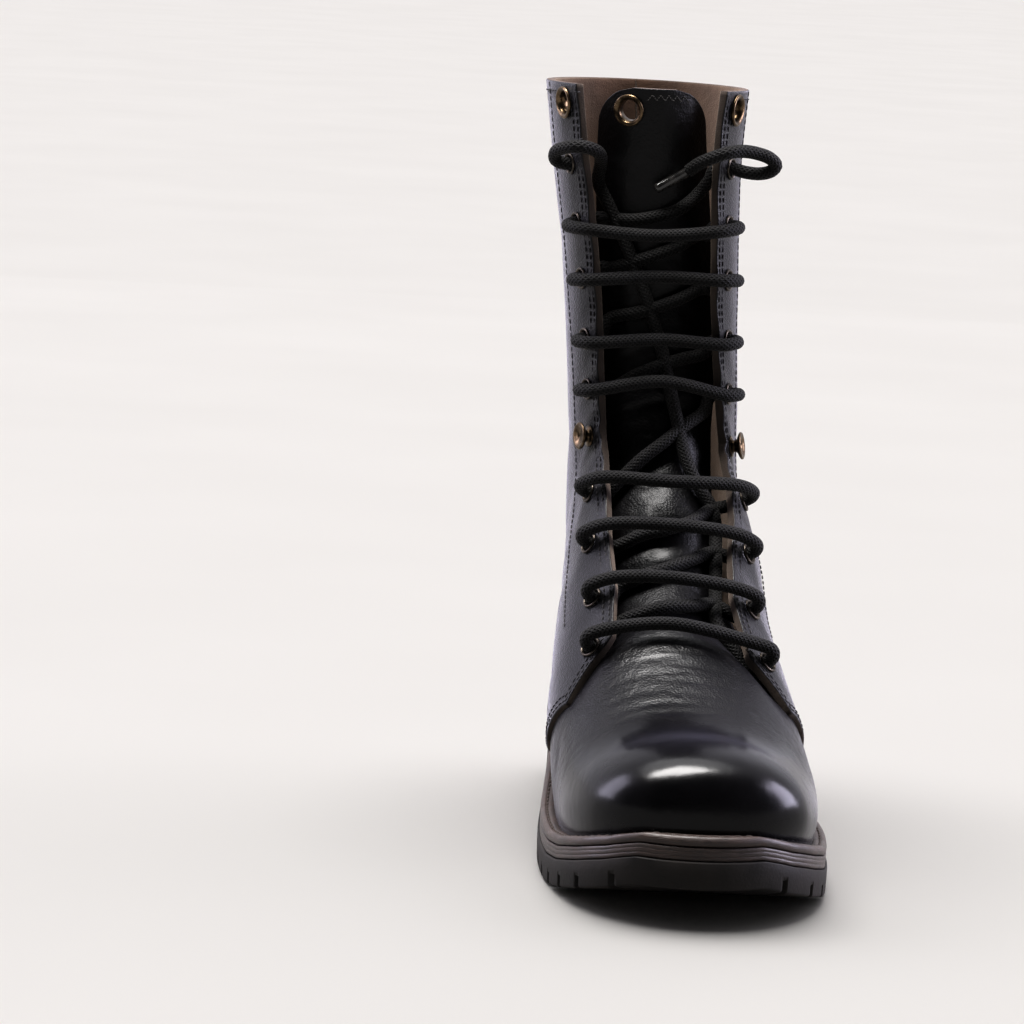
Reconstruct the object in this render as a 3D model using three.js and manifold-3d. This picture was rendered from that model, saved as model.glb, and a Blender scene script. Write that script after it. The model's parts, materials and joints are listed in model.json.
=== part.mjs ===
// A lace-up combat boot for the left foot, in millimetres.
// The toe points to -Y, the outer side of the foot to +X, and up is +Z.
// Every piece is worked out from one last: a fan of sections that rise from the toe,
// over the instep and up the shaft. A place on the last is a pair (u, v): u counts the
// sections, and v runs round each one, from -1 on the inner side, through 0 on the ridge
// over the foot, to 1 on the outer side. From HEEL_SECTION up, -1 and 1 meet at the back.

import * as THREE from "three";
import { mergeVertices } from "three/addons/utils/BufferGeometryUtils.js";
import Module from "manifold-3d";

const wasm = await Module();
wasm.setup();

// Driving sizes of the last
const LAST_LENGTH = 292.5;
const BALL_WIDTH = 104;
const ANKLE_WIDTH = 70;
const COLLAR_HEIGHT = 303;
const COLLAR_BACK_LIFT = 3;
const HEEL_HEIGHT = 42;
const FOREFOOT_HEIGHT = 16;
const TOE_SPRING = 15.5;

// Walls, layers and edges
const GAP = 0.3;
const LINING_WALL = 2.2;
const QUARTER_STEP = 1.4;
const COUNTER_STEP = 1.2;
const BACKSTAY_STEP = 0.9;
const MIDSOLE_THICKNESS = 5;
const SHANK_SOLE_THICKNESS = 5.4;
const WELT_HEIGHT = 4;
const WELT_REACH = 6.2;
const WELT_ROUNDING = 1.1;
const MIDSOLE_REACH = 6.2;
const OUTSOLE_REACH = 7;
const HEEL_REACH_LOSS = 1.8;
const INSOLE_THICKNESS = 3;
const INSOLE_CLEARANCE = 1.9;
const HEEL_LENGTH = 84;
const HEEL_TAPER = 1.2;

// Tread
const LUG_DEPTH = 4.8;
const GROOVE_WIDTH = 2.8;
const GROOVE_LENGTH = 17;
const GROOVE_PITCH = 15;
const CENTRE_GROOVE_WIDTH = 4;
const CENTRE_GROOVE_PITCH = 21;

// Tongue, laces and metal
const TONGUE_THICKNESS = 2.2;
const TONGUE_CORNER = 13;
const LACE_DIAMETER = 5.4;
const AGLET_DIAMETER = 4.4;
const EYELET_OUTER = 9.2;
const EYELET_HOLE = 6.2;
const GROMMET_OUTER = 13.4;
const GROMMET_HOLE = 8.6;
const BARREL_WALL = 0.6;
const FLANGE_SEAT = 0.4;
const FLANGE_THICKNESS = 0.8;
const STUD_HEAD = 11.5;
const STUD_HEIGHT = 5.2;
const EYELET_INSET = 10.5;
const ROUND_SIDES = 8;
const GROMMET_SIDES = 10;
const STUD_SIDES = 8;

const COLOURS = {
  leather: 0x121114,
  suede: 0x3a2a22,
  rubber: 0x1a1715,
  sole_leather: 0x3b2c25,
  lace: 0x141313,
  brass: 0x6d5b44,
  eyelet: 0x39342e,
};

// The footbed under the feather line, from toe to heel. along is a share of the last's
// length, spring of the toe spring, rise of the heel's rise, and tread is 1 where the
// sole has its full thickness.
const FOOTBED = [
  { along: 0, spring: 1, rise: 0, tread: 1 },
  { along: 0.034, spring: 0.74, rise: 0, tread: 1 },
  { along: 0.085, spring: 0.46, rise: 0, tread: 1 },
  { along: 0.154, spring: 0.155, rise: 0, tread: 1 },
  { along: 0.22, spring: 0, rise: 0, tread: 1 },
  { along: 0.31, spring: 0, rise: 0, tread: 1 },
  { along: 0.36, spring: 0, rise: 0, tread: 1 },
  { along: 0.42, spring: 0, rise: 0.08, tread: 1 },
  { along: 0.45, spring: 0, rise: 0.13, tread: 0 },
  { along: 0.496, spring: 0, rise: 0.23, tread: 0 },
  { along: 0.598, spring: 0, rise: 0.52, tread: 0 },
  { along: 0.7, spring: 0, rise: 0.79, tread: 0 },
  { along: 0.8, spring: 0, rise: 0.96, tread: 0 },
  { along: 0.905, spring: 0, rise: 1, tread: 0 },
  { along: 1, spring: 0, rise: 1, tread: 0 },
];

// Sections of the last, from the toe tip to the collar. The ridge is each section's top
// point, and the base its lowest: on the feather line, or on the back seam from the heel
// section up. along is a share of the last's length, up of the height from the footbed to
// the collar, side of the ball width, and the half widths, at the feather line and at the
// belly, of the ball width, which gives way to the ankle width as shaft goes from 0 to 1.
const COLUMNS = [
  "ridgeAlong", "ridgeUp", "ridgeSide", "baseAlong", "baseUp", "baseSide",
  "featherIn", "featherOut", "bellyIn", "bellyOut", "belly", "crown", "tuck", "sweep", "shaft",
];
const SECTIONS = [
  [0, 0, 0.01, 0, 0, 0.01, 0, 0, 0, 0, 0.6, 0.6, 0, 0.5, 0],
  [-0.003, 0.04, 0.01, 0.01, 0, 0.01, 0.154, 0.154, 0.163, 0.163, 0.6, 0.6, 0.01, 0.5, 0],
  [0.007, 0.084, 0.01, 0.038, 0, 0.01, 0.269, 0.269, 0.284, 0.288, 0.62, 0.62, 0.01, 0.5, 0],
  [0.038, 0.123, 0.01, 0.079, 0, 0.01, 0.356, 0.361, 0.37, 0.385, 0.64, 0.62, 0.01, 0.5, 0],
  [0.092, 0.149, 0, 0.133, 0, 0.01, 0.409, 0.423, 0.423, 0.442, 0.66, 0.6, 0.01, 0.5, 0],
  [0.168, 0.167, -0.01, 0.198, 0, 0.01, 0.442, 0.462, 0.457, 0.486, 0.67, 0.56, 0.01, 0.5, 0],
  [0.25, 0.199, -0.024, 0.277, 0, 0.01, 0.457, 0.486, 0.466, 0.514, 0.68, 0.5, 0.01, 0.5, 0],
  [0.338, 0.246, -0.038, 0.366, 0, 0.005, 0.447, 0.486, 0.466, 0.519, 0.68, 0.48, 0.01, 0.5, 0],
  [0.414, 0.312, -0.043, 0.475, 0, 0, 0.413, 0.433, 0.452, 0.481, 0.66, 0.48, 0.01, 0.5, 0],
  [0.482, 0.371, -0.038, 0.591, 0, -0.005, 0.408, 0.403, 0.461, 0.466, 0.6, 0.5, 0.01, 0.5, 0.25],
  [0.53, 0.426, -0.034, 0.701, 0, -0.01, 0.42, 0.408, 0.471, 0.489, 0.54, 0.52, 0.01, 0.5, 0.5],
  [0.557, 0.469, -0.038, 0.81, 0, -0.01, 0.452, 0.439, 0.49, 0.51, 0.5, 0.54, 0.01, 0.4, 0.75],
  [0.571, 0.51, -0.048, 0.906, 0, -0.01, 0.443, 0.443, 0.521, 0.536, 0.5, 0.54, 0.07, 0.28, 1],
  [0.576, 0.542, -0.058, 0.964, 0, -0.01, 0.3, 0.3, 0.507, 0.514, 0.5, 0.54, 0.186, 0.12, 1],
  [0.579, 0.574, -0.063, 0.991, 0, -0.01, 0, 0, 0.5, 0.507, 0.5, 0.54, 0.286, 0, 1],
  [0.581, 0.607, -0.072, 1, 0.077, -0.01, 0, 0, 0.497, 0.5, 0.5, 0.54, 0.3, 0, 1],
  [0.581, 0.643, -0.082, 0.995, 0.176, -0.01, 0, 0, 0.497, 0.493, 0.5, 0.54, 0.3, 0, 1],
  [0.581, 0.683, -0.091, 0.974, 0.284, -0.019, 0, 0, 0.497, 0.493, 0.5, 0.54, 0.3, 0, 1],
  [0.579, 0.731, -0.101, 0.962, 0.398, -0.038, 0, 0, 0.5, 0.493, 0.5, 0.54, 0.3, 0, 1],
  [0.578, 0.786, -0.115, 0.961, 0.529, -0.058, 0, 0, 0.507, 0.503, 0.5, 0.54, 0.3, 0, 1],
  [0.574, 0.851, -0.135, 0.968, 0.674, -0.087, 0, 0, 0.517, 0.521, 0.5, 0.54, 0.3, 0, 1],
  [0.568, 0.924, -0.154, 0.978, 0.835, -0.125, 0, 0, 0.543, 0.553, 0.5, 0.54, 0.314, 0, 1],
  [0.561, 1, -0.163, 0.988, 1, -0.154, 0, 0, 0.579, 0.6, 0.5, 0.54, 0.329, 0, 1],
];
const HEEL_SECTION = 14;
const COLLAR_SECTION = SECTIONS.length - 1;

// The quarters' front edge: the section that it crosses at each |v|, with a point low on
// each side where the facing's corner hangs over the vamp
const QUARTER_FRONT = [
  [0, 7.52], [0.155, 7.52], [0.185, 7.36], [0.335, 6.94], [0.36, 7.05], [0.5, 7.5], [0.75, 8], [1, 8.4],
];

// The throat between the facings: where its edges are at each section, inner and outer side
const THROAT = [
  [7.41, 0.165, 0.205], [8.3, 0.16, 0.185], [9.5, 0.195, 0.21], [11.3, 0.225, 0.235],
  [13.5, 0.245, 0.265], [18, 0.255, 0.232], [20, 0.262, 0.238], [22.5, 0.272, 0.246],
];

// The heel counter, one side, from its front point to the middle of the back: the feather
// section at its foot, then section and |v| on its top edge
const COUNTER = [
  [10.4, 10.43, 0.985], [10.9, 11, 0.9], [11.5, 11.7, 0.84], [12.2, 12.55, 0.79],
  [12.9, 13.4, 0.775], [13.4, 14.2, 0.8], [13.75, 14.95, 0.88], [14, 15.5, 1],
];
const BACKSTAY_FROM = 15.2;
const BACKSTAY_V = 0.89;

// The gap in front of the foot, where tongue and laces lie: how deep the tongue's face is
// under the ridge at each section, its half width, and how far it curls back at one ball
// width from its middle, all as shares of the ball width
const TONGUE = [
  { u: 7.1, depth: 0.028, half: 0.154, curl: 1.09 },
  { u: 7.6, depth: 0.052, half: 0.173, curl: 2.91 },
  { u: 8, depth: 0.094, half: 0.197, curl: 2.7 },
  { u: 8.4, depth: 0.117, half: 0.2115, curl: 2.5 },
  { u: 9.6, depth: 0.1365, half: 0.216, curl: 2.55 },
  { u: 11.2, depth: 0.1846, half: 0.202, curl: 2.81 },
  { u: 13, depth: 0.221, half: 0.221, curl: 2.7 },
  { u: 15.8, depth: 0.244, half: 0.25, curl: 2.5 },
  { u: 17.3, depth: 0.256, half: 0.245, curl: 2.5 },
  { u: 20, depth: 0.25, half: 0.231, curl: 2.6 },
  { u: 21.88, depth: 0.231, half: 0.2115, curl: 2.7 },
];

// Lace rows from the toe up: the section of each pair of eyelets, the section and depth of
// the middle of the bar that crosses there, and the sections that the strand behind the bars
// passes on its way from the inner eyelet up to the next outer one, at STRAND_SIDES
const STRAND_SIDES = [-17, -8.5, 0, 8.5, 17];
const LACE_ROWS = [
  { u: 7.5, middle: 7.31, depth: -4.3, strand: [7.76, 7.7, 7.74, 7.9, 8.25] },
  { u: 8.36, middle: 8.17, depth: -1, strand: [8.5, 8.5, 8.6, 8.85, 9.25] },
  { u: 9.6, middle: 9.25, depth: 2, strand: [9.3, 9.3, 9.35, 9.6, 10.2] },
  { u: 11.15, middle: 10.3, depth: 5, strand: [10.8, 11.15, 11.55, 12.2, 13.2] },
  { u: 15.8, middle: 13.85, depth: 12, strand: [14, 14.2, 14.5, 14.9, 15.4] },
  { u: 17.3, middle: 15.57, depth: 13, strand: [16.65, 16.6, 16.75, 17.1, 17.65] },
  { u: 18.72, middle: 17.77, depth: 13, strand: [18.2, 18.22, 18.4, 18.7, 19.1] },
  { u: 19.78, middle: 18.92, depth: 12.6, strand: [19.38, 19.25, 19.3, 19.5, 19.95] },
  { u: 20.76 },
];
const STUD_SECTION = 14.1;
const GROMMET_SECTION = 21.7;
const TONGUE_GROMMET = { u: 21.45, side: -10.5 };

// Small tools

const lerp = (a, b, t) => a + (b - a) * t;

// Value of a table's column at x, with straight lines between its rows
function lookup(table, key, column, x) {
  if (x <= table[0][key]) return table[0][column];
  const next = table.findIndex((row) => row[key] > x);
  if (next < 0) return table[table.length - 1][column];
  const [a, b] = [table[next - 1], table[next]];
  return lerp(a[column], b[column], (x - a[key]) / (b[key] - a[key]));
}

// Smooth value through four neighbours, t from 0 to 1 between the middle two
function smooth(a, b, c, d, t) {
  const slopeB = a === null ? c - b : (c - a) / 2;
  const slopeC = d === null ? c - b : (d - b) / 2;
  const t2 = t * t;
  const t3 = t2 * t;
  return (2 * t3 - 3 * t2 + 1) * b + (t3 - 2 * t2 + t) * slopeB
    + (3 * t2 - 2 * t3) * c + (t3 - t2) * slopeC;
}

function bezier(a, b, c, d, t) {
  const s = 1 - t;
  return s * s * s * a + 3 * s * s * t * b + 3 * s * t * t * c + t * t * t * d;
}

// The last

const toeTip = -LAST_LENGTH / 2;
const lengthwise = (along) => toeTip + along * LAST_LENGTH;

function footbed(y) {
  const along = (y - toeTip) / LAST_LENGTH;
  const spring = lookup(FOOTBED, "along", "spring", along);
  const rise = lookup(FOOTBED, "along", "rise", along);
  return FOREFOOT_HEIGHT + TOE_SPRING * spring + (HEEL_HEIGHT - FOREFOOT_HEIGHT) * rise;
}

// A row of SECTIONS as real lengths
function measured(row) {
  const share = Object.fromEntries(COLUMNS.map((name, index) => [name, row[index]]));
  const width = lerp(BALL_WIDTH, ANKLE_WIDTH, share.shaft);
  const ridgeY = lengthwise(share.ridgeAlong);
  const baseY = lengthwise(share.baseAlong);
  const collarBack = COLLAR_HEIGHT + COLLAR_BACK_LIFT;
  return {
    ridgeX: share.ridgeSide * BALL_WIDTH,
    ridgeY,
    ridgeZ: lerp(footbed(ridgeY), COLLAR_HEIGHT, share.ridgeUp),
    baseX: share.baseSide * BALL_WIDTH,
    baseY,
    baseZ: lerp(footbed(baseY), collarBack, share.baseUp),
    featherIn: share.featherIn * width,
    featherOut: share.featherOut * width,
    bellyIn: share.bellyIn * width,
    bellyOut: share.bellyOut * width,
    tuck: share.tuck * width,
    belly: share.belly,
    crown: share.crown,
    sweep: share.sweep,
  };
}

const sections = SECTIONS.map(measured);

function sectionAt(u) {
  const index = Math.min(Math.max(Math.floor(u), 0), COLLAR_SECTION - 1);
  const neighbours = [-1, 0, 1, 2].map((step) => sections[index + step] ?? null);
  const section = {};
  for (const key of Object.keys(sections[0])) {
    const [a, b, c, d] = neighbours.map((row) => (row === null ? null : row[key]));
    section[key] = smooth(a, b, c, d, u - index);
  }
  section.featherIn = Math.max(0, section.featherIn);
  section.featherOut = Math.max(0, section.featherOut);
  return section;
}

const BELLY_PULL = 0.45;

// A point of the last's surface
function onLast(u, v) {
  if (u > COLLAR_SECTION) {
    const rim = onLast(COLLAR_SECTION, v);
    const below = onLast(COLLAR_SECTION - 1, v);
    return rim.add(rim.clone().sub(below).multiplyScalar(u - COLLAR_SECTION));
  }
  const s = sectionAt(u);
  const side = v < 0 ? -1 : 1;
  const belly = v < 0 ? s.bellyIn : s.bellyOut;
  const feather = v < 0 ? s.featherIn : s.featherOut;
  const reach = Math.abs(v) * 2;
  let across;
  let down;
  if (reach <= 1) {
    across = bezier(0, s.crown * belly, belly, belly, reach);
    down = bezier(0, 0, s.belly * BELLY_PULL, s.belly, reach);
  } else {
    const rest = 1 - s.belly;
    across = bezier(belly, belly, feather + s.tuck, feather, reach - 1);
    down = bezier(s.belly, s.belly + rest / 2, 1 - s.sweep * rest, 1, reach - 1);
  }
  return new THREE.Vector3(
    lerp(s.ridgeX, s.baseX, down) + side * across,
    lerp(s.ridgeY, s.baseY, down),
    lerp(s.ridgeZ, s.baseZ, down),
  );
}

// The last's outward normal, with the seam at the back crossed where there is one
const U_STEP = 0.02;
const V_STEP = 0.01;

function normalOnLast(u, v) {
  const atSeam = Math.abs(u - HEEL_SECTION) < U_STEP;
  const place = atSeam ? HEEL_SECTION + U_STEP : Math.min(Math.max(u, U_STEP), COLLAR_SECTION - U_STEP);
  const alongU = onLast(place + U_STEP, v).sub(onLast(place - U_STEP, v));
  const wraps = place >= HEEL_SECTION + U_STEP;
  let before = v - V_STEP;
  let after = v + V_STEP;
  if (before < -1) before = wraps ? before + 2 : -1;
  if (after > 1) after = wraps ? after - 2 : 1;
  const alongV = onLast(place, after).sub(onLast(place, before));
  return alongV.cross(alongU).normalize();
}

// A point raised off the last by a height, which is negative inside it
function raised(u, v, height) {
  const around = v > 1 ? v - 2 : v < -1 ? v + 2 : v;
  return onLast(u, around).addScaledVector(normalOnLast(u, around), height);
}

// A section's ridge frame: outward, and back towards its base
function ridgeFrame(u) {
  const s = sectionAt(Math.min(u, COLLAR_SECTION));
  const back = new THREE.Vector3(0, s.baseY - s.ridgeY, s.baseZ - s.ridgeZ).normalize();
  return { out: normalOnLast(u, 0), back };
}

const tongueSize = (column, u) => lookup(TONGUE, "u", column, u) * BALL_WIDTH;

// A point of the tongue's face, side millimetres across from its middle
function tongueFace(u, side) {
  const { out, back } = ridgeFrame(u);
  const curl = tongueSize("curl", u) / BALL_WIDTH ** 2;
  const point = onLast(u, 0).addScaledVector(out, -tongueSize("depth", u));
  point.addScaledVector(back, curl * side * side);
  point.x += side;
  return point;
}

// A point raised off the tongue's face
function offTongue(u, side, height) {
  const across = tongueFace(u, side + 1).sub(tongueFace(u, side - 1));
  const upwards = tongueFace(u + 0.1, side).sub(tongueFace(u - 0.1, side));
  return tongueFace(u, side).addScaledVector(across.cross(upwards).normalize(), height);
}

// Solids

function geometryFrom(points, triangles) {
  const geometry = new THREE.BufferGeometry();
  geometry.setAttribute("position", new THREE.Float32BufferAttribute(points, 3));
  geometry.setIndex(triangles);
  return geometry;
}

function toManifold(source) {
  const bare = source.clone();
  bare.deleteAttribute("normal");
  bare.deleteAttribute("uv");
  const welded = mergeVertices(bare, 1e-4);
  const index = welded.index.array;
  const triangles = [];
  for (let i = 0; i < index.length; i += 3) {
    const [a, b, c] = [index[i], index[i + 1], index[i + 2]];
    if (a !== b && b !== c && c !== a) triangles.push(a, b, c);
  }
  return new wasm.Manifold(new wasm.Mesh({
    numProp: 3,
    vertProperties: new Float32Array(welded.attributes.position.array),
    triVerts: new Uint32Array(triangles),
  }));
}

function fromManifold(solid) {
  const mesh = solid.getMesh();
  return geometryFrom(Array.from(mesh.vertProperties), Array.from(mesh.triVerts));
}

// Collects four-sided faces between rows of points
class Skin {
  constructor() {
    this.points = [];
    this.triangles = [];
  }

  face(a, b, c, d) {
    const first = this.points.length / 3;
    for (const corner of [a, b, c, d]) this.points.push(corner.x, corner.y, corner.z);
    this.triangles.push(first, first + 1, first + 2, first, first + 2, first + 3);
  }

  grid(rows) {
    for (let i = 0; i + 1 < rows.length; i += 1) {
      for (let j = 0; j + 1 < rows[i].length; j += 1) {
        this.face(rows[i][j], rows[i][j + 1], rows[i + 1][j + 1], rows[i + 1][j]);
      }
    }
  }

  solid() {
    return toManifold(geometryFrom(this.points, this.triangles));
  }
}

// A wall between two grids of points, closed round its edges. Rows from seamRow on
// meet themselves at the back and have no side edges.
function wallBetween(outer, inner, seamRow = Infinity) {
  const skin = new Skin();
  const last = outer.length - 1;
  skin.grid(outer);
  skin.grid(inner.map((row) => [...row].reverse()));
  skin.grid([inner[0], outer[0]]);
  skin.grid([outer[last], inner[last]]);
  const open = Math.min(seamRow, last);
  for (let i = 0; i < open; i += 1) {
    const end = outer[i].length - 1;
    skin.face(inner[i][0], outer[i][0], outer[i + 1][0], inner[i + 1][0]);
    skin.face(outer[i][end], inner[i][end], inner[i + 1][end], outer[i + 1][end]);
  }
  return skin.solid();
}

// The main body of a cut, without its offcuts
function mainBody(solid) {
  return solid.decompose().reduce((best, piece) => (piece.volume() > best.volume() ? piece : best));
}

function steps(from, to, count) {
  return Array.from({ length: count + 1 }, (_, index) => lerp(from, to, index / count));
}

// Upper

const SIDE_PLACES = [0, 0.08, 0.155, 0.185, 0.26, 0.335, 0.36, 0.47, 0.6, 0.74, 0.88, 1];
const AROUND = [...SIDE_PLACES.slice(1).reverse().map((v) => -v), ...SIDE_PLACES];
const VAMP_ROWS = 8;
const QUARTER_ROWS = 6;
const SHAFT_PLACES = [14.9, 16, 17.3, 18.8, 20, 21.1, 22];
const STEP_RUN = 0.03;

const quarterFront = (v) => lookup(QUARTER_FRONT, 0, 1, Math.abs(v));

// Sections of the grid's rows at v: vamp, quarters behind their step, then shaft
function rowPlaces(v) {
  const front = quarterFront(v);
  const vamp = steps(0, front, VAMP_ROWS).map((u) => ({ u, step: 0 }));
  const quarter = steps(front + STEP_RUN, HEEL_SECTION, QUARTER_ROWS);
  const shaft = [...quarter, ...SHAFT_PLACES].map((u) => ({ u, step: QUARTER_STEP }));
  return [...vamp, ...shaft];
}

const SEAM_ROW = VAMP_ROWS + 1 + QUARTER_ROWS;

const toePoint = (extra) => onLast(0, 0).add(new THREE.Vector3(0, -extra, 0));

// The upper's surface raised by extra; its foot edge lies sole above the footbed, and its
// collar edge is level
function upperSurface(extra, stepShare, sole) {
  const columns = AROUND.map((v) => rowPlaces(v).map(({ u, step }) => {
    const point = u === 0 ? toePoint(extra) : raised(u, v, step * stepShare + extra);
    const isFoot = u === 0 || (Math.abs(v) === 1 && u < HEEL_SECTION + STEP_RUN);
    if (isFoot) point.z = footbed(point.y) + sole;
    if (u === COLLAR_SECTION) point.z = onLast(u, v).z;
    return point;
  }));
  return columns[0].map((_, row) => columns.map((column) => column[row]));
}

// A raised panel from low to high over the last, given by rows of (u, v) places. Its
// foot, where it has one, lies sole above the footbed.
function panel(places, low, high, isFoot = () => false, sole = GAP) {
  const lift = (height) => places.map((row, i) => row.map(([u, v], j) => {
    const point = raised(u, v, height);
    if (isFoot(i, j)) point.z = footbed(point.y) + sole;
    if (u >= COLLAR_SECTION) point.z = onLast(COLLAR_SECTION, v > 1 ? v - 2 : v).z;
    return point;
  }));
  return wallBetween(lift(high), lift(low));
}

const COUNTER_RISE = 3;
const COUNTER_CLEARANCE = 0.25;

function heelCounter(extra = 0, sole = GAP) {
  const ahead = (index) => extra * COUNTER_CLEARANCE * (1 - index / (COUNTER.length - 1));
  const outerSide = COUNTER.map(([foot, u, v], i) => ({ foot: [foot - ahead(i), 1], top: [u - ahead(i), v] }));
  const innerSide = outerSide.slice(0, -1).reverse()
    .map(({ foot, top }) => ({ foot: [foot[0], -1], top: [top[0], -top[1]] }));
  const blend = (a, b, t) => [lerp(a[0], b[0], t), lerp(a[1], b[1], t)];
  const side = (line) => steps(0, 1, COUNTER_RISE).map((t) => line.map(({ foot, top }) => blend(foot, top, t)));
  const out = side(outerSide);
  const inn = side(innerSide);
  const rows = out.map((row, i) => [...row, ...inn[i]]);
  return panel(rows, -LINING_WALL / 2, QUARTER_STEP + COUNTER_STEP + extra, (i) => i === 0, sole);
}

function backstay() {
  const across = steps(BACKSTAY_V, 2 - BACKSTAY_V, 4);
  const places = [BACKSTAY_FROM, ...SHAFT_PLACES.slice(1)].map((u) => across.map((v) => [u, v]));
  return panel(places, -LINING_WALL / 2, QUARTER_STEP + BACKSTAY_STEP);
}

const CUT_REACH = 8;

function throatCut() {
  const rows = THROAT.map(([u, inner, outer]) => steps(-inner, outer, 6).map((v) => [u, v]));
  const lift = (height) => rows.map((row) => row.map(([u, v]) => raised(u, v, height)));
  return wallBetween(lift(CUT_REACH), lift(-CUT_REACH));
}

function throatEdge(u, side) {
  return side * lookup(THROAT, 0, side < 0 ? 1 : 2, u);
}

// v of the place that lies inset millimetres behind the throat's edge
function behindThroat(u, side, inset) {
  const edge = throatEdge(u, side);
  const reach = onLast(u, edge + side * V_STEP).distanceTo(onLast(u, edge)) / V_STEP;
  return edge + side * (inset / reach);
}

// A place for a piece of metal: its centre on the upper's face and its axis
function seat(u, side, inset = EYELET_INSET) {
  const v = behindThroat(u, side, inset);
  return { centre: raised(u, v, QUARTER_STEP), axis: normalOnLast(u, v) };
}

const SIDES = { inner: -1, outer: 1 };
const eyeletSeats = Object.fromEntries(
  Object.entries(SIDES).map(([name, side]) => [name, LACE_ROWS.map(({ u }) => seat(u, side))]),
);
const grommetSeats = Object.fromEntries(
  Object.entries(SIDES).map(([name, side]) => [name, seat(GROMMET_SECTION, side)]),
);
const studSeats = Object.fromEntries(
  Object.entries(SIDES).map(([name, side]) => [name, seat(STUD_SECTION, side)]),
);

const turnTo = (axis) => new THREE.Quaternion().setFromUnitVectors(new THREE.Vector3(0, 1, 0), axis);

function drilled(place, radius, sides = ROUND_SIDES) {
  const drill = new THREE.CylinderGeometry(radius, radius, DRILL_DEPTH, sides);
  drill.applyQuaternion(turnTo(place.axis));
  drill.translate(place.centre.x, place.centre.y, place.centre.z);
  return toManifold(drill);
}

const eyeletBarrel = EYELET_HOLE / 2 + BARREL_WALL;
const grommetBarrel = GROMMET_HOLE / 2 + BARREL_WALL;
const STUD_POST = 2.6;
const DRILL_DEPTH = 14;

function upper() {
  const outside = upperSurface(0, 1, GAP);
  const inside = upperSurface(-LINING_WALL, 0, GAP);
  let solid = wallBetween(outside, inside, SEAM_ROW);
  const below = plate([
    { grow: OUTSOLE_REACH, height: (y) => footbed(y) - WELT_HEIGHT },
    { grow: OUTSOLE_REACH, height: (y) => footbed(y) + GAP },
  ]);
  solid = solid.add(heelCounter()).add(backstay()).subtract(throatCut()).subtract(below);
  for (const name of Object.keys(SIDES)) {
    for (const place of eyeletSeats[name]) {
      solid = solid.subtract(drilled(place, eyeletBarrel + GAP));
    }
    solid = solid.subtract(drilled(grommetSeats[name], grommetBarrel + GAP, GROMMET_SIDES));
    solid = solid.subtract(drilled(studSeats[name], STUD_POST + GAP, STUD_SIDES));
  }
  return mainBody(solid);
}

// Sole

// The feather line on one side, from toe to heel, grown outwards in plan
const OUTLINE_POINTS = 90;

function featherLine(side, grow) {
  const places = steps(0, HEEL_SECTION, OUTLINE_POINTS);
  const points = places.map((u) => onLast(u, side));
  return points.map((point, i) => {
    const before = points[Math.max(i - 1, 0)];
    const after = points[Math.min(i + 1, points.length - 1)];
    const run = new THREE.Vector2(after.x - before.x, after.y - before.y).normalize();
    if (i === 0) run.set(side, 0);
    if (i === points.length - 1) run.set(-side, 0);
    return { x: point.x + side * run.y * grow, y: point.y - side * run.x * grow };
  });
}

// The front and back ends of a grown outline, between two limits
const TIP_TRIM = 0.25;

function reachOf(grow, from, to) {
  const line = featherLine(1, grow);
  return [Math.max(from, line[0].y + TIP_TRIM), Math.min(to, line[OUTLINE_POINTS].y - TIP_TRIM)];
}

// The grown outline's x on both sides, at each y
function widthsAt(grow, places) {
  const lines = { inner: featherLine(-1, grow), outer: featherLine(1, grow) };
  return places.map((y) => ({
    y,
    inner: lookup(lines.inner, "y", "x", y),
    outer: lookup(lines.outer, "y", "x", y),
  }));
}

// Where a plate has its stations, as shares of its length: close together at its round
// ends, and one on each break of the footbed
const footbedBreaks = FOOTBED.map(({ along }) => lengthwise(along));

function stationShares(front, back, count) {
  const rounded = steps(0, Math.PI, count).map((angle) => (1 - Math.cos(angle)) / 2);
  const breaks = footbedBreaks.map((y) => (y - front) / (back - front));
  const apart = TIP_TRIM / (back - front);
  const free = breaks.filter((share) => share > 0 && share < 1
    && rounded.every((other) => Math.abs(other - share) > apart));
  return [...rounded, ...free].sort((a, b) => a - b);
}

// A plate that follows the sole's outline. Each level, from the bottom up, has its
// growth over the feather line and its height at each y.
function plate(levels, from = -Infinity, to = Infinity, count = 18) {
  const skin = new Skin();
  const shares = stationShares(...reachOf(levels[0].grow, from, to), count);
  const rings = levels.map(({ grow, height }) => {
    const [front, back] = reachOf(grow, from, to);
    const rows = widthsAt(grow, shares.map((share) => lerp(front, back, share)));
    const inner = rows.map((row) => new THREE.Vector3(row.inner, row.y, height(row.y)));
    const outer = rows.map((row) => new THREE.Vector3(row.outer, row.y, height(row.y)));
    return { inner, outer, ring: [...outer, ...[...inner].reverse(), outer[0]] };
  });
  skin.grid(rings.map(({ ring }) => ring));
  const bottom = rings[0];
  const top = rings[rings.length - 1];
  skin.grid([bottom.inner, bottom.outer]);
  skin.grid([top.outer, top.inner]);
  return skin.solid();
}

const soleTop = (y) => footbed(y) - MIDSOLE_THICKNESS - GAP;
const forefootSole = FOREFOOT_HEIGHT - MIDSOLE_THICKNESS - GAP;

function soleBottom(y) {
  const tread = lookup(FOOTBED, "along", "tread", (y - toeTip) / LAST_LENGTH);
  return Math.max(0, soleTop(y) - lerp(SHANK_SOLE_THICKNESS, forefootSole, tread));
}

const treadEnds = [0.42, 0.45].map(lengthwise);
const heelBack = lengthwise(1) + OUTSOLE_REACH;
const heelBreast = heelBack - HEEL_LENGTH;

function box(width, depth, height, x, y, z, turn = 0, tilt = 0) {
  const block = new THREE.BoxGeometry(width, depth, height);
  block.rotateX(tilt);
  block.rotateZ(turn);
  block.translate(x, y, z);
  return toManifold(block);
}

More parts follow.
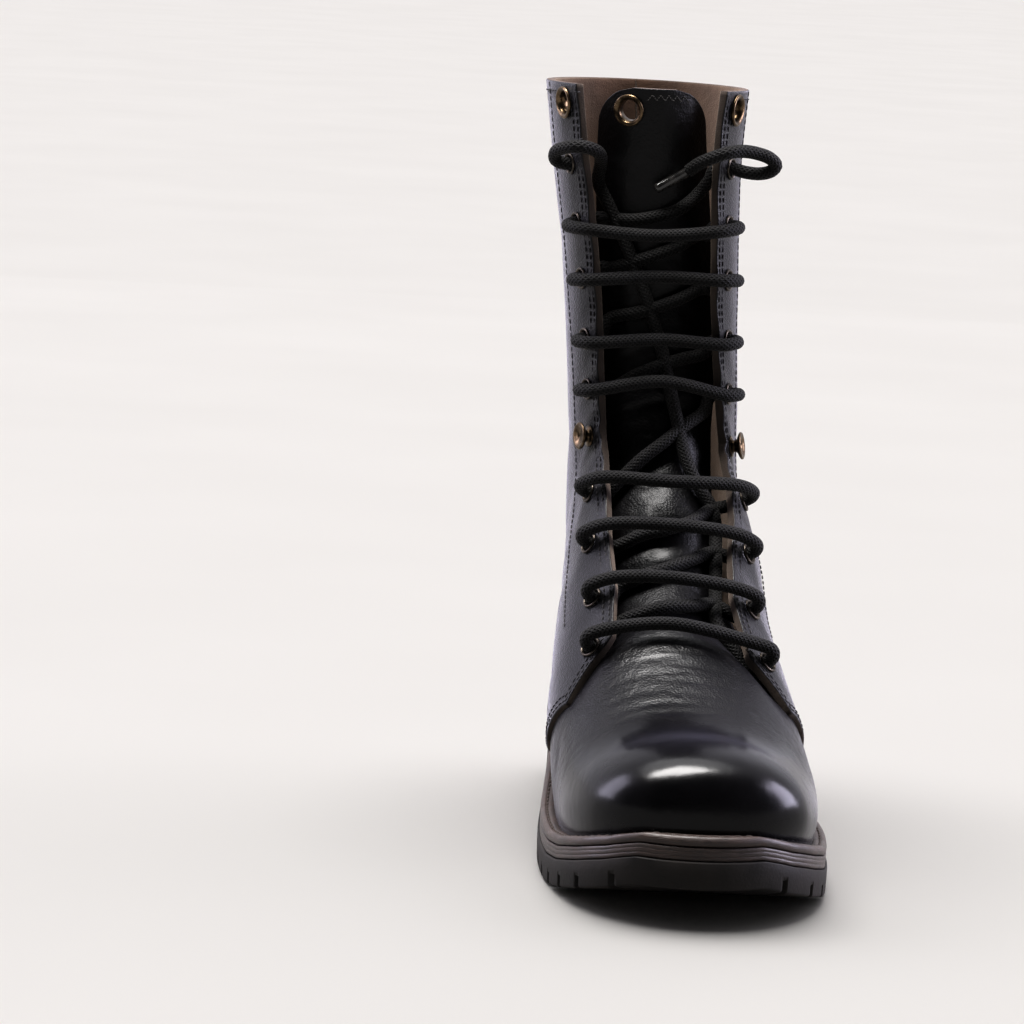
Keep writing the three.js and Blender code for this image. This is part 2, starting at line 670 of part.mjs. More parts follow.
// Grooves from both edges of the sole inwards, square to the outline, and a row of
// crossed grooves along the middle
function treadGrooves(from, to, bottom, pitch) {
  const cuts = [];
  const count = Math.round((to - from) / pitch);
  for (const y of steps(from, to, count)) {
    const [place, ahead] = widthsAt(OUTSOLE_REACH, [y, y + 1]);
    for (const [name, side] of Object.entries(SIDES)) {
      const turn = -Math.atan2(ahead[name] - place[name], ahead.y - place.y);
      const inwards = GROOVE_LENGTH / 2 - GROOVE_PITCH / 5;
      cuts.push(box(
        GROOVE_LENGTH, GROOVE_WIDTH, LUG_DEPTH * 2,
        place[name] - side * inwards * Math.cos(turn), y - side * inwards * Math.sin(turn),
        bottom(y), turn,
      ));
    }
  }
  return cuts;
}

function middleGrooves(from, to, bottom, pitch) {
  const cuts = [];
  const count = Math.round((to - from) / pitch);
  for (const y of steps(from, to, count)) {
    const [place] = widthsAt(OUTSOLE_REACH, [y]);
    const middle = (place.inner + place.outer) / 2;
    for (const turn of [Math.PI / 4, -Math.PI / 4]) {
      cuts.push(box(GROOVE_LENGTH, CENTRE_GROOVE_WIDTH, LUG_DEPTH * 2, middle, y, bottom(y), turn));
    }
  }
  return cuts;
}

function outsole() {
  const levels = [
    { grow: OUTSOLE_REACH - GAP, height: soleBottom },
    { grow: OUTSOLE_REACH, height: soleTop },
  ];
  let solid = plate(levels);
  const treadFront = lengthwise(0.02);
  const treadBack = treadEnds[0] - GROOVE_WIDTH * 2;
  const cuts = [
    ...treadGrooves(treadFront, treadBack, soleBottom, GROOVE_PITCH),
    ...middleGrooves(treadFront + GROOVE_PITCH, treadBack - GROOVE_PITCH / 2, soleBottom, CENTRE_GROOVE_PITCH),
  ];
  for (const cut of cuts) solid = solid.subtract(cut);
  return solid;
}

function heel() {
  const grow = OUTSOLE_REACH - HEEL_REACH_LOSS;
  const levels = [
    { grow: grow - HEEL_TAPER, height: () => 0 },
    { grow, height: (y) => soleBottom(y) - GAP },
  ];
  let solid = plate(levels, heelBreast, Infinity, 12);
  const front = heelBreast + GROOVE_PITCH;
  const back = heelBack - GROOVE_PITCH * 1.4;
  for (const cut of treadGrooves(front, back, () => 0, GROOVE_PITCH)) solid = solid.subtract(cut);
  return solid;
}

function midsole() {
  return plate([
    { grow: MIDSOLE_REACH, height: (y) => footbed(y) - MIDSOLE_THICKNESS },
    { grow: MIDSOLE_REACH, height: footbed },
  ]);
}

const UPPER_CLEARANCE = 0.7;

function welt() {
  const shoulder = WELT_HEIGHT - WELT_ROUNDING;
  const solid = plate([
    { grow: WELT_REACH, height: (y) => footbed(y) + GAP },
    { grow: WELT_REACH, height: (y) => footbed(y) + shoulder },
    { grow: WELT_REACH - WELT_ROUNDING, height: (y) => footbed(y) + WELT_HEIGHT },
  ]);
  const core = plate([
    { grow: -LINING_WALL / 2, height: (y) => footbed(y) - WELT_HEIGHT },
    { grow: -LINING_WALL / 2, height: (y) => footbed(y) + WELT_HEIGHT * 2 },
  ]);
  const outside = upperSurface(UPPER_CLEARANCE, 1, -GAP);
  const inside = upperSurface(-LINING_WALL, 0, -GAP);
  const clearance = wallBetween(outside, inside, SEAM_ROW);
  return mainBody(solid.subtract(core).subtract(clearance).subtract(heelCounter(UPPER_CLEARANCE, -GAP)));
}

function insole() {
  const grow = -LINING_WALL - INSOLE_CLEARANCE;
  return plate([
    { grow, height: (y) => footbed(y) + GAP },
    { grow, height: (y) => footbed(y) + GAP + INSOLE_THICKNESS },
  ]);
}

// Tongue

const TONGUE_TOP = TONGUE[TONGUE.length - 1];
const TONGUE_ROWS = [
  7.1, 7.6, 8, 8.4, 9, 9.8, 10.6, 11.2, 11.8, 12.4, 13, 13.6, 14.3, 15, 15.8, 17.3, 18.7, 20, 21, TONGUE_TOP.u,
];
const TONGUE_CLEARANCE = 0.4;

function tongue() {
  const rows = (height) => TONGUE_ROWS.map((u) => {
    const half = tongueSize("half", u);
    return steps(-half, half, 6).map((side) => offTongue(u, side, height));
  });
  const wall = wallBetween(
    upperSurface(0, 1, -GAP), upperSurface(-LINING_WALL - TONGUE_CLEARANCE, 0, -GAP), SEAM_ROW,
  );
  const blank = wallBetween(rows(0), rows(-TONGUE_THICKNESS));
  const hole = drilled(tongueSeat(), grommetBarrel + GAP, GROMMET_SIDES);
  return mainBody(blank.intersect(tongueFrontCut()).subtract(wall).subtract(hole));
}

// Front outline of the tongue's top, with round corners, as a block along Y
function tongueFrontCut() {
  const top = tongueFace(TONGUE_TOP.u, 0);
  const half = tongueSize("half", TONGUE_TOP.u);
  const shape = new THREE.Shape();
  const low = -COLLAR_HEIGHT;
  const wide = BALL_WIDTH;
  shape.moveTo(-wide, low);
  shape.lineTo(wide, low);
  shape.lineTo(wide, -TONGUE_CORNER);
  shape.lineTo(half, -TONGUE_CORNER);
  shape.absarc(half - TONGUE_CORNER, -TONGUE_CORNER, TONGUE_CORNER, 0, Math.PI / 2);
  shape.lineTo(TONGUE_CORNER - half, 0);
  shape.absarc(TONGUE_CORNER - half, -TONGUE_CORNER, TONGUE_CORNER, Math.PI / 2, Math.PI);
  shape.lineTo(-wide, -TONGUE_CORNER);
  const block = new THREE.ExtrudeGeometry(shape, {
    depth: LAST_LENGTH, bevelEnabled: false, curveSegments: 5,
  });
  block.rotateX(Math.PI / 2);
  block.translate(top.x, LAST_LENGTH / 2, top.z);
  return toManifold(block);
}

function tongueSeat() {
  const { u, side } = TONGUE_GROMMET;
  const centre = tongueFace(u, side);
  return { centre, axis: offTongue(u, side, 1).sub(centre) };
}

// Metal pieces, turned on a lathe: a flange on the face and a barrel through the wall

const faceHeight = FLANGE_SEAT + FLANGE_THICKNESS;

function ringProfile(outer, hole, through) {
  const inside = hole / 2;
  const rim = outer / 2;
  const barrel = inside + BARREL_WALL;
  return [
    [inside, -through], [barrel, -through], [barrel, FLANGE_SEAT], [rim, FLANGE_SEAT],
    [inside, faceHeight], [inside, -through],
  ];
}

function turned(profile, place, segments) {
  const points = profile.map(([x, y]) => new THREE.Vector2(x, y));
  const lathe = new THREE.LatheGeometry(points, segments);
  lathe.applyQuaternion(turnTo(place.axis));
  lathe.translate(place.centre.x, place.centre.y, place.centre.z);
  return toManifold(lathe);
}

const wallThrough = LINING_WALL + QUARTER_STEP;
const eyelet = (place) => turned(ringProfile(EYELET_OUTER, EYELET_HOLE, wallThrough), place, ROUND_SIDES);
const grommet = (place, through) => turned(ringProfile(GROMMET_OUTER, GROMMET_HOLE, through), place, GROMMET_SIDES);

function stud(place) {
  const head = STUD_HEAD / 2;
  const seatRadius = STUD_POST + 1.6;
  return turned([
    [0, -wallThrough], [STUD_POST, -wallThrough], [STUD_POST, FLANGE_SEAT], [seatRadius, FLANGE_SEAT],
    [STUD_POST, faceHeight], [STUD_POST, STUD_HEIGHT - 2.2], [head, STUD_HEIGHT - 1.6],
    [head * 0.8, STUD_HEIGHT], [0, STUD_HEIGHT],
  ], place, STUD_SIDES);
}

// Laces

const laceRadius = LACE_DIAMETER / 2;

function tube(points, radius, perStep = 6.5, sides = 6) {
  const curve = new THREE.CatmullRomCurve3(points, false, "centripetal");
  const shape = new THREE.Shape(steps(0, 2 * Math.PI, sides).slice(0, sides)
    .map((angle) => new THREE.Vector2(radius * Math.cos(angle), radius * Math.sin(angle))));
  const geometry = new THREE.ExtrudeGeometry(shape, {
    extrudePath: curve, steps: Math.max(3, Math.round(curve.getLength() / perStep)), bevelEnabled: false,
  });
  return toManifold(geometry);
}

const BEND_RADIUS = 4.2;
const BEND_ANGLES = [0, 0.5, 1.05, Math.PI / 2];

// The turn from an eyelet's hole to the wall's face, towards a point; way is 1 outside
// the boot and -1 inside it
function eyeletTurn(place, towards, way) {
  const start = way > 0 ? faceHeight + GAP * 1.5 : -wallThrough - GAP * 2;
  const out = place.axis.clone().multiplyScalar(way);
  const run = towards.clone().sub(place.centre);
  run.addScaledVector(place.axis, -run.dot(place.axis)).normalize();
  const foot = place.centre.clone().addScaledVector(place.axis, start);
  return BEND_ANGLES.map((angle) => foot.clone()
    .addScaledVector(out, BEND_RADIUS * Math.sin(angle))
    .addScaledVector(run, BEND_RADIUS * (1 - Math.cos(angle))));
}

// The point where a bar crosses the throat's edge, standing off its corner
const EDGE_STAND_OFF = laceRadius + 1.5;
const EDGE_SHARE = 0.28;

function overEdge(u, side) {
  const v = throatEdge(u, side);
  const corner = raised(u, v, QUARTER_STEP);
  const lean = normalOnLast(u, v).multiplyScalar(1.4).add(normalOnLast(u, 0)).normalize();
  return corner.addScaledVector(lean, EDGE_STAND_OFF);
}

function laceBar(row) {
  const { u, middle, depth } = LACE_ROWS[row];
  const edgeU = lerp(u, middle, EDGE_SHARE);
  const inner = overEdge(edgeU, -1);
  const outer = overEdge(edgeU, 1);
  const centre = onLast(middle, 0).addScaledVector(normalOnLast(middle, 0), -depth);
  return tube([
    ...eyeletTurn(eyeletSeats.inner[row], inner, 1), inner, centre, outer,
    ...eyeletTurn(eyeletSeats.outer[row], outer, 1).reverse(),
  ], laceRadius);
}

const STRAND_HEIGHT = laceRadius + 1;

// A strand in front of the tongue, from an inner eyelet up to the next outer one
function laceStrand(row) {
  const middle = STRAND_SIDES.map((side, i) => offTongue(LACE_ROWS[row].strand[i], side, STRAND_HEIGHT));
  return tube([
    ...eyeletTurn(eyeletSeats.inner[row], middle[0], -1), ...middle,
    ...eyeletTurn(eyeletSeats.outer[row + 1], middle[4], -1).reverse(),
  ], laceRadius);
}

// The long strand that runs up behind the bars from the lowest outer eyelet, by section
// and side on the tongue
const RUNNER = [
  [7.85, 18], [8.5, 18], [9.4, 18.5], [10.2, 17.5], [10.6, 12], [11.27, 7.4], [12.27, 5.3], [13.4, 3.6],
  [15.1, 0.9], [16.77, -3.1], [18.3, -8.8], [19, -12.2], [19.6, -15.8], [20.15, -19.3],
];

function laceRunner() {
  const run = RUNNER.map(([u, side]) => offTongue(u, side, STRAND_HEIGHT));
  return tube([...eyeletTurn(eyeletSeats.outer[0], run[0], -1), ...run], laceRadius);
}

const laceRows = LACE_ROWS.length;

// The lace behind the bars: all strands that cross, joined
function laceInside() {
  let strands = laceRunner();
  for (let row = 0; row < laceRows - 1; row += 1) strands = strands.add(laceStrand(row));
  return strands;
}

// The lace's free ends, as points from the centre of the top eyelet on their side. The inner
// end comes up behind the facing, over its edge and into the eyelet from outside. The outer
// end leaves the eyelet in a loop beside the boot and comes back to lie on the tongue.
const INNER_LOOP = [
  [12.4, -1, 0.6], [11.2, -8, 4.6], [7.2, -12.8, 6.8], [1.4, -14, 7.4], [-3.7, -10, 6.4],
  [-6.8, -5.5, 4.3], [-6.3, -2.5, 1.1],
];
const OUTER_LOOP = [
  [5.8, -3.2, -1], [11.9, -4.2, -1.3], [16.3, -5.2, 0], [18, -6.7, 2.5], [15.2, -8.2, 5.3], [9.5, -9.7, 7.1],
  [3.1, -11.7, 7.7], [-3.6, -14, 6.6], [-8.7, -12.2, 4.5], [-13.5, -8.2, 1.9], [-17.4, -4.2, -1.5],
];
const AGLET = [[-18.2, -3.8, -2.2], [-24, -2.3, -5.8], [-29.9, -1.9, -9.4]];
const LOOP_STEP = 5;
const LOOP_SIDES = 8;

function fromEyelet(place, points) {
  return points.map(([x, y, z]) => place.centre.clone().add(new THREE.Vector3(x, y, z)));
}

const topEyelet = (name) => eyeletSeats[name][laceRows - 1];
const eyeletMouth = (place) => place.centre.clone().addScaledVector(place.axis, faceHeight + GAP * 1.5);

function innerLoop() {
  const place = topEyelet("inner");
  return tube([...fromEyelet(place, INNER_LOOP), eyeletMouth(place)], laceRadius, LOOP_STEP, LOOP_SIDES);
}

function outerLoop() {
  const place = topEyelet("outer");
  return tube([eyeletMouth(place), ...fromEyelet(place, OUTER_LOOP)], laceRadius, LOOP_STEP, LOOP_SIDES);
}

function aglet() {
  return tube(fromEyelet(topEyelet("outer"), AGLET), AGLET_DIAMETER / 2, LOOP_STEP, LOOP_SIDES);
}

// Assembly: every piece as a named mesh, moved so that the origin is under the middle of
// the boot's outline, which leaves out the lace's free ends

function material(colour, roughness, metalness = 0) {
  return new THREE.MeshStandardMaterial({ color: COLOURS[colour], roughness, metalness });
}

const boot = new THREE.Group();

function place(name, solid, finish) {
  const mesh = new THREE.Mesh(fromManifold(solid), finish);
  mesh.name = name;
  boot.add(mesh);
}

const leather = () => material("leather", 0.35);
const brass = () => material("brass", 0.35, 0.9);
const eyeletMetal = () => material("eyelet", 0.4, 0.8);
const cord = () => material("lace", 0.85);

place("outsole", outsole(), material("rubber", 0.8));
place("heel", heel(), material("rubber", 0.8));
place("midsole", midsole(), material("sole_leather", 0.7));
place("welt", welt(), material("sole_leather", 0.7));
place("insole", insole(), material("suede", 0.9));
place("upper", upper(), leather());
place("tongue", tongue(), leather());
for (const name of Object.keys(SIDES)) {
  eyeletSeats[name].forEach((spot, row) => place(`eyelet_${name}_${row + 1}`, eyelet(spot), eyeletMetal()));
  place(`collar_grommet_${name}`, grommet(grommetSeats[name], wallThrough), brass());
  place(`stud_${name}`, stud(studSeats[name]), brass());
}
place("tongue_grommet", grommet(tongueSeat(), TONGUE_THICKNESS), brass());
for (let row = 0; row < laceRows - 1; row += 1) {
  place(`lace_bar_${row + 1}`, laceBar(row), cord());
}
place("lace_inside", laceInside(), cord());
const outline = new THREE.Box3().setFromObject(boot);
place("lace_loop_inner", innerLoop(), cord());
place("lace_loop_outer", outerLoop(), cord());
place("lace_aglet", aglet(), material("lace", 0.3));

const centre = outline.getCenter(new THREE.Vector3());
boot.position.set(-centre.x, -centre.y, 0);

const part = new THREE.Group();
part.add(boot);

export default part;
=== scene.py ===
# The finish of a lace-up combat boot for the left foot. Lengths are in millimetres, and
# turn into metres where a mesh is made. The toe points to -Y and the outer side to +X.

import json
import math

import bmesh
import bpy
import numpy as np
from mathutils import Matrix, Vector

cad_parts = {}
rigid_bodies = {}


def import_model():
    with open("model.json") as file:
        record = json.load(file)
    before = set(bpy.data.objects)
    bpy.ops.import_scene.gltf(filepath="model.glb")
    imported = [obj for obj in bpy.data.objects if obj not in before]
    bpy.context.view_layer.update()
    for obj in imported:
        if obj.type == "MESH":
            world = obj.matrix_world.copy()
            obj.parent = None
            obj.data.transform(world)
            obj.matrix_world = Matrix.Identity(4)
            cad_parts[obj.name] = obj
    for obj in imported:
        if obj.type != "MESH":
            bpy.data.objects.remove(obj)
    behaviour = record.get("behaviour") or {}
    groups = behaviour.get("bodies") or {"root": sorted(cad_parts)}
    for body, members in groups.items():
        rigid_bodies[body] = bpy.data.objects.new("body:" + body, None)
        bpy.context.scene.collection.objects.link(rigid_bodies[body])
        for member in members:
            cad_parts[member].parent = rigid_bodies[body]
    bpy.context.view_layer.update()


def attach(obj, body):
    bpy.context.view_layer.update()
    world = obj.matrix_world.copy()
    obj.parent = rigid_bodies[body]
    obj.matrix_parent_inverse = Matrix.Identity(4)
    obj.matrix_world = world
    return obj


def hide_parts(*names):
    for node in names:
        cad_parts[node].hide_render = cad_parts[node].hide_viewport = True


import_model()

MM = 0.001
BODY = "root"

# Driving sizes of the last
LAST_LENGTH = 292.5
BALL_WIDTH = 104
ANKLE_WIDTH = 70
COLLAR_HEIGHT = 303
COLLAR_BACK_LIFT = 3
HEEL_HEIGHT = 42
FOREFOOT_HEIGHT = 16
TOE_SPRING = 15.5

# Walls, layers and edges
GAP = 0.3
LINING_WALL = 2.2
QUARTER_STEP = 1.4
COUNTER_STEP = 1.2
BACKSTAY_STEP = 0.9
MIDSOLE_THICKNESS = 5
SHANK_SOLE_THICKNESS = 5.4
WELT_HEIGHT = 4
WELT_REACH = 6.2
MIDSOLE_REACH = 6.2
OUTSOLE_REACH = 7
HEEL_REACH_LOSS = 1.8
INSOLE_THICKNESS = 3
HEEL_LENGTH = 84
HEEL_TAPER = 1.2

# Tread
LUG_DEPTH = 4.8
GROOVE_WIDTH = 2.8
GROOVE_LENGTH = 17
GROOVE_PITCH = 15
CENTRE_GROOVE_WIDTH = 4
CENTRE_GROOVE_PITCH = 21

# Tongue, lace and metal
TONGUE_THICKNESS = 2.2
TONGUE_CORNER = 13
TONGUE_LEAN = 1.6
LACE_DIAMETER = 5.4
AGLET_DIAMETER = 4.2
EYELET_OUTER = 9.2
EYELET_HOLE = 6.2
EYELET_INSET = 10.5
GROMMET_OUTER = 13.4
GROMMET_HOLE = 8.6
STUD_HEAD = 11.5
STUD_HEIGHT = 5.2
STUD_POST = 2.6
BARREL_WALL = 0.6
FACE_HEIGHT = 1.2

# The boot's own frame stands this far from the last's
ORIGIN = np.array([-0.303, 1.3163, 0.0])

# The footbed under the feather line: share of the last's length, of the toe spring, of the
# heel's rise, and 1 where the sole has its full thickness
FOOTBED = np.array([
    [0, 1, 0, 1], [0.034, 0.74, 0, 1], [0.085, 0.46, 0, 1], [0.154, 0.155, 0, 1],
    [0.22, 0, 0, 1], [0.31, 0, 0, 1], [0.36, 0, 0, 1], [0.42, 0, 0.08, 1],
    [0.45, 0, 0.13, 0], [0.496, 0, 0.23, 0], [0.598, 0, 0.52, 0], [0.7, 0, 0.79, 0],
    [0.8, 0, 0.96, 0], [0.905, 0, 1, 0], [1, 0, 1, 0],
])

# Sections of the last from the toe tip to the collar, in shares of its sizes
COLUMNS = [
    "ridge_along", "ridge_up", "ridge_side", "base_along", "base_up", "base_side",
    "feather_in", "feather_out", "belly_in", "belly_out", "belly", "crown", "tuck", "sweep",
    "shaft",
]
SECTIONS = np.array([
    [0, 0, 0.01, 0, 0, 0.01, 0, 0, 0, 0, 0.6, 0.6, 0, 0.5, 0],
    [-0.003, 0.04, 0.01, 0.01, 0, 0.01, 0.154, 0.154, 0.163, 0.163, 0.6, 0.6, 0.01, 0.5, 0],
    [0.007, 0.084, 0.01, 0.038, 0, 0.01, 0.269, 0.269, 0.284, 0.288, 0.62, 0.62, 0.01, 0.5, 0],
    [0.038, 0.123, 0.01, 0.079, 0, 0.01, 0.356, 0.361, 0.37, 0.385, 0.64, 0.62, 0.01, 0.5, 0],
    [0.092, 0.149, 0, 0.133, 0, 0.01, 0.409, 0.423, 0.423, 0.442, 0.66, 0.6, 0.01, 0.5, 0],
    [0.168, 0.167, -0.01, 0.198, 0, 0.01, 0.442, 0.462, 0.457, 0.486, 0.67, 0.56, 0.01, 0.5, 0],
    [0.25, 0.199, -0.024, 0.277, 0, 0.01, 0.457, 0.486, 0.466, 0.514, 0.68, 0.5, 0.01, 0.5, 0],
    [0.338, 0.246, -0.038, 0.366, 0, 0.005, 0.447, 0.486, 0.466, 0.519, 0.68, 0.48, 0.01, 0.5, 0],
    [0.414, 0.312, -0.043, 0.475, 0, 0, 0.413, 0.433, 0.452, 0.481, 0.66, 0.48, 0.01, 0.5, 0],
    [0.482, 0.371, -0.038, 0.591, 0, -0.005, 0.408, 0.403, 0.461, 0.466, 0.6, 0.5, 0.01, 0.5, 0.25],
    [0.53, 0.426, -0.034, 0.701, 0, -0.01, 0.42, 0.408, 0.471, 0.489, 0.54, 0.52, 0.01, 0.5, 0.5],
    [0.557, 0.469, -0.038, 0.81, 0, -0.01, 0.452, 0.439, 0.49, 0.51, 0.5, 0.54, 0.01, 0.4, 0.75],
    [0.571, 0.51, -0.048, 0.906, 0, -0.01, 0.443, 0.443, 0.521, 0.536, 0.5, 0.54, 0.07, 0.28, 1],
    [0.576, 0.542, -0.058, 0.964, 0, -0.01, 0.3, 0.3, 0.507, 0.514, 0.5, 0.54, 0.186, 0.12, 1],
    [0.579, 0.574, -0.063, 0.991, 0, -0.01, 0, 0, 0.5, 0.507, 0.5, 0.54, 0.286, 0, 1],
    [0.581, 0.607, -0.072, 1, 0.077, -0.01, 0, 0, 0.497, 0.5, 0.5, 0.54, 0.3, 0, 1],
    [0.581, 0.643, -0.082, 0.995, 0.176, -0.01, 0, 0, 0.497, 0.493, 0.5, 0.54, 0.3, 0, 1],
    [0.581, 0.683, -0.091, 0.974, 0.284, -0.019, 0, 0, 0.497, 0.493, 0.5, 0.54, 0.3, 0, 1],
    [0.579, 0.731, -0.101, 0.962, 0.398, -0.038, 0, 0, 0.5, 0.493, 0.5, 0.54, 0.3, 0, 1],
    [0.578, 0.786, -0.115, 0.961, 0.529, -0.058, 0, 0, 0.507, 0.503, 0.5, 0.54, 0.3, 0, 1],
    [0.574, 0.851, -0.135, 0.968, 0.674, -0.087, 0, 0, 0.517, 0.521, 0.5, 0.54, 0.3, 0, 1],
    [0.568, 0.924, -0.154, 0.978, 0.835, -0.125, 0, 0, 0.543, 0.553, 0.5, 0.54, 0.314, 0, 1],
    [0.561, 1, -0.163, 0.988, 1, -0.154, 0, 0, 0.579, 0.6, 0.5, 0.54, 0.329, 0, 1],
])
HEEL_SECTION = 14
COLLAR_SECTION = len(SECTIONS) - 1

# The quarters' front edge: |v| and the section it crosses there
QUARTER_FRONT = np.array([
    [0, 7.52], [0.155, 7.52], [0.185, 7.36], [0.335, 6.94], [0.36, 7.05], [0.5, 7.5],
    [0.75, 8], [1, 8.4],
])

# The throat's edges: section, inner and outer |v|
THROAT = np.array([
    [7.41, 0.165, 0.205], [8.3, 0.16, 0.185], [9.5, 0.195, 0.21], [11.3, 0.225, 0.235],
    [13.5, 0.245, 0.265], [18, 0.255, 0.232], [20, 0.262, 0.238], [22.5, 0.272, 0.246],
])

# One side of the heel counter: its foot's section, then section and |v| of its top edge
COUNTER = np.array([
    [10.4, 10.43, 0.985], [10.9, 11, 0.9], [11.5, 11.7, 0.84], [12.2, 12.55, 0.79],
    [12.9, 13.4, 0.775], [13.4, 14.2, 0.8], [13.75, 14.95, 0.88], [14, 15.5, 1],
])
BACKSTAY_FROM = 15.2
BACKSTAY_V = 0.89

# The tongue's face: section, then depth, half width and curl as shares of the ball width
TONGUE = np.array([
    [7.1, 0.028, 0.154, 1.09], [7.6, 0.052, 0.173, 2.91], [8, 0.094, 0.197, 2.7],
    [8.4, 0.117, 0.2115, 2.5], [9.6, 0.1365, 0.216, 2.55], [11.2, 0.1846, 0.202, 2.81],
    [13, 0.221, 0.221, 2.7], [15.8, 0.244, 0.25, 2.5], [17.3, 0.256, 0.245, 2.5],
    [20, 0.25, 0.231, 2.6], [21.88, 0.231, 0.2115, 2.7],
])

# Lace rows from the toe up: section of the eyelets, section and depth of the middle of the
# bar, and the sections that the strand behind it passes at STRAND_SIDES
STRAND_SIDES = [-17, -8.5, 0, 8.5, 17]
LACE_ROWS = [
    (7.5, 7.31, -4.3, [7.76, 7.7, 7.74, 7.9, 8.25]),
    (8.36, 8.17, -1, [8.5, 8.5, 8.6, 8.85, 9.25]),
    (9.6, 9.25, 2, [9.3, 9.3, 9.35, 9.6, 10.2]),
    (11.15, 10.3, 5, [10.8, 11.15, 11.55, 12.2, 13.2]),
    (15.8, 13.85, 12, [14, 14.2, 14.5, 14.9, 15.4]),
    (17.3, 15.57, 13, [16.65, 16.6, 16.75, 17.1, 17.65]),
    (18.72, 17.77, 13, [18.2, 18.22, 18.4, 18.7, 19.1]),
    (19.78, 18.92, 12.6, [19.38, 19.25, 19.3, 19.5, 19.95]),
]
EYELET_SECTIONS = [row[0] for row in LACE_ROWS] + [20.76]
STUD_SECTION = 14.1
GROMMET_SECTION = 21.7
TONGUE_GROMMET = (21.45, -10.5)
RUNNER = [
    [7.85, 18], [8.5, 18], [9.4, 18.5], [10.2, 17.5], [10.6, 12], [11.27, 7.4], [12.27, 5.3],
    [13.4, 3.6], [15.1, 0.9], [16.77, -3.1], [18.3, -8.8], [19, -12.2], [19.6, -15.8],
    [20.15, -19.3],
]
INNER_LOOP = [
    [12.4, -1, 0.6], [11.2, -8, 4.6], [7.2, -12.8, 6.8], [1.4, -14, 7.4], [-3.7, -10, 6.4],
    [-6.8, -5.5, 4.3], [-6.3, -2.5, 1.1],
]
OUTER_LOOP = [
    [5.8, -3.2, -1], [11.9, -4.2, -1.3], [16.3, -5.2, 0], [18, -6.7, 2.5], [15.2, -8.2, 5.3],
    [9.5, -9.7, 7.1], [3.1, -11.7, 7.7], [-3.6, -14, 6.6], [-8.7, -12.2, 4.5],
    [-13.5, -8.2, 1.9], [-17.4, -4.2, -1.5],
]
AGLET = [[-18.2, -3.8, -2.2], [-24, -2.3, -5.8], [-29.9, -1.9, -9.4]]


# Small tools

def placed(name, data):
    """Puts a mesh, a light or a camera into the scene."""
    thing = bpy.data.objects.new(name, data)
    bpy.context.scene.collection.objects.link(thing)
    return thing


def smoothed(mesh):
    mesh.polygons.foreach_set("use_smooth", np.ones(len(mesh.polygons), bool))
    return mesh


def add_node(tree, kind, links=None, values=None, **settings):
    """Adds a node with its settings, its sockets' values and its links."""
    made = tree.nodes.new(kind)
    for key, value in settings.items():
        setattr(made, key, value)
    for key, value in (values or {}).items():
        made.inputs[key].default_value = value
    for key, source in (links or {}).items():
        tree.links.new(source, made.inputs[key])
    return made


def lerp(a, b, t):
    return a + (b - a) * t


def smoothstep(low, high, x):
    t = np.clip((x - low) / (high - low), 0, 1)
    return t * t * (3 - 2 * t)


def unit(vectors):
    return vectors / np.maximum(np.linalg.norm(vectors, axis=-1, keepdims=True), 1e-9)


def bezier(a, b, c, d, t):
    s = 1 - t
    return s**3 * a + 3 * s * s * t * b + 3 * s * t * t * c + t**3 * d


def run_along(line):
    """How far along the line each of its points lies."""
    return np.concatenate([[0], np.cumsum(np.linalg.norm(np.diff(line, axis=0), axis=1))])


def at_runs(line, places):
    """The points that lie these distances along a line."""
    run = run_along(line)
    return np.stack([np.interp(places, run, column) for column in line.T], axis=1)


def relaxed(points, passes, closed=False):
    """Points of a grid or a ring, evened out with their neighbours. A grid keeps its edges."""
    for _ in range(passes):
        if closed:
            points = (np.roll(points, 1, 0) + 2 * points + np.roll(points, -1, 0)) / 4
            continue
        middle = points[1:-1, 1:-1]
        around = (points[:-2, 1:-1] + points[2:, 1:-1] + points[1:-1, :-2] + points[1:-1, 2:]) / 4
        points = points.copy()
        points[1:-1, 1:-1] = (middle + around) / 2
    return points


# The last, for whole arrays of places (u, v)

TOE_TIP = -LAST_LENGTH / 2
U_STEP = 0.02
V_STEP = 0.01
BELLY_PULL = 0.45


def lengthwise(along):
    return TOE_TIP + along * LAST_LENGTH


def footbed(y):
    """Height of the feather line over the ground."""
    along = (y - TOE_TIP) / LAST_LENGTH
    spring = np.interp(along, FOOTBED[:, 0], FOOTBED[:, 1])
    rise = np.interp(along, FOOTBED[:, 0], FOOTBED[:, 2])
    return FOREFOOT_HEIGHT + TOE_SPRING * spring + (HEEL_HEIGHT - FOREFOOT_HEIGHT) * rise


def measured():
    """The sections in millimetres."""
    share = {name: SECTIONS[:, index] for index, name in enumerate(COLUMNS)}
    width = lerp(BALL_WIDTH, ANKLE_WIDTH, share["shaft"])
    ridge_y = lengthwise(share["ridge_along"])
    base_y = lengthwise(share["base_along"])
    return np.stack([
        share["ridge_side"] * BALL_WIDTH, ridge_y,
        lerp(footbed(ridge_y), COLLAR_HEIGHT, share["ridge_up"]),
        share["base_side"] * BALL_WIDTH, base_y,
        lerp(footbed(base_y), COLLAR_HEIGHT + COLLAR_BACK_LIFT, share["base_up"]),
        share["feather_in"] * width, share["feather_out"] * width,
        share["belly_in"] * width, share["belly_out"] * width, share["tuck"] * width,
        share["belly"], share["crown"], share["sweep"],
    ], axis=1)


ROWS = measured()


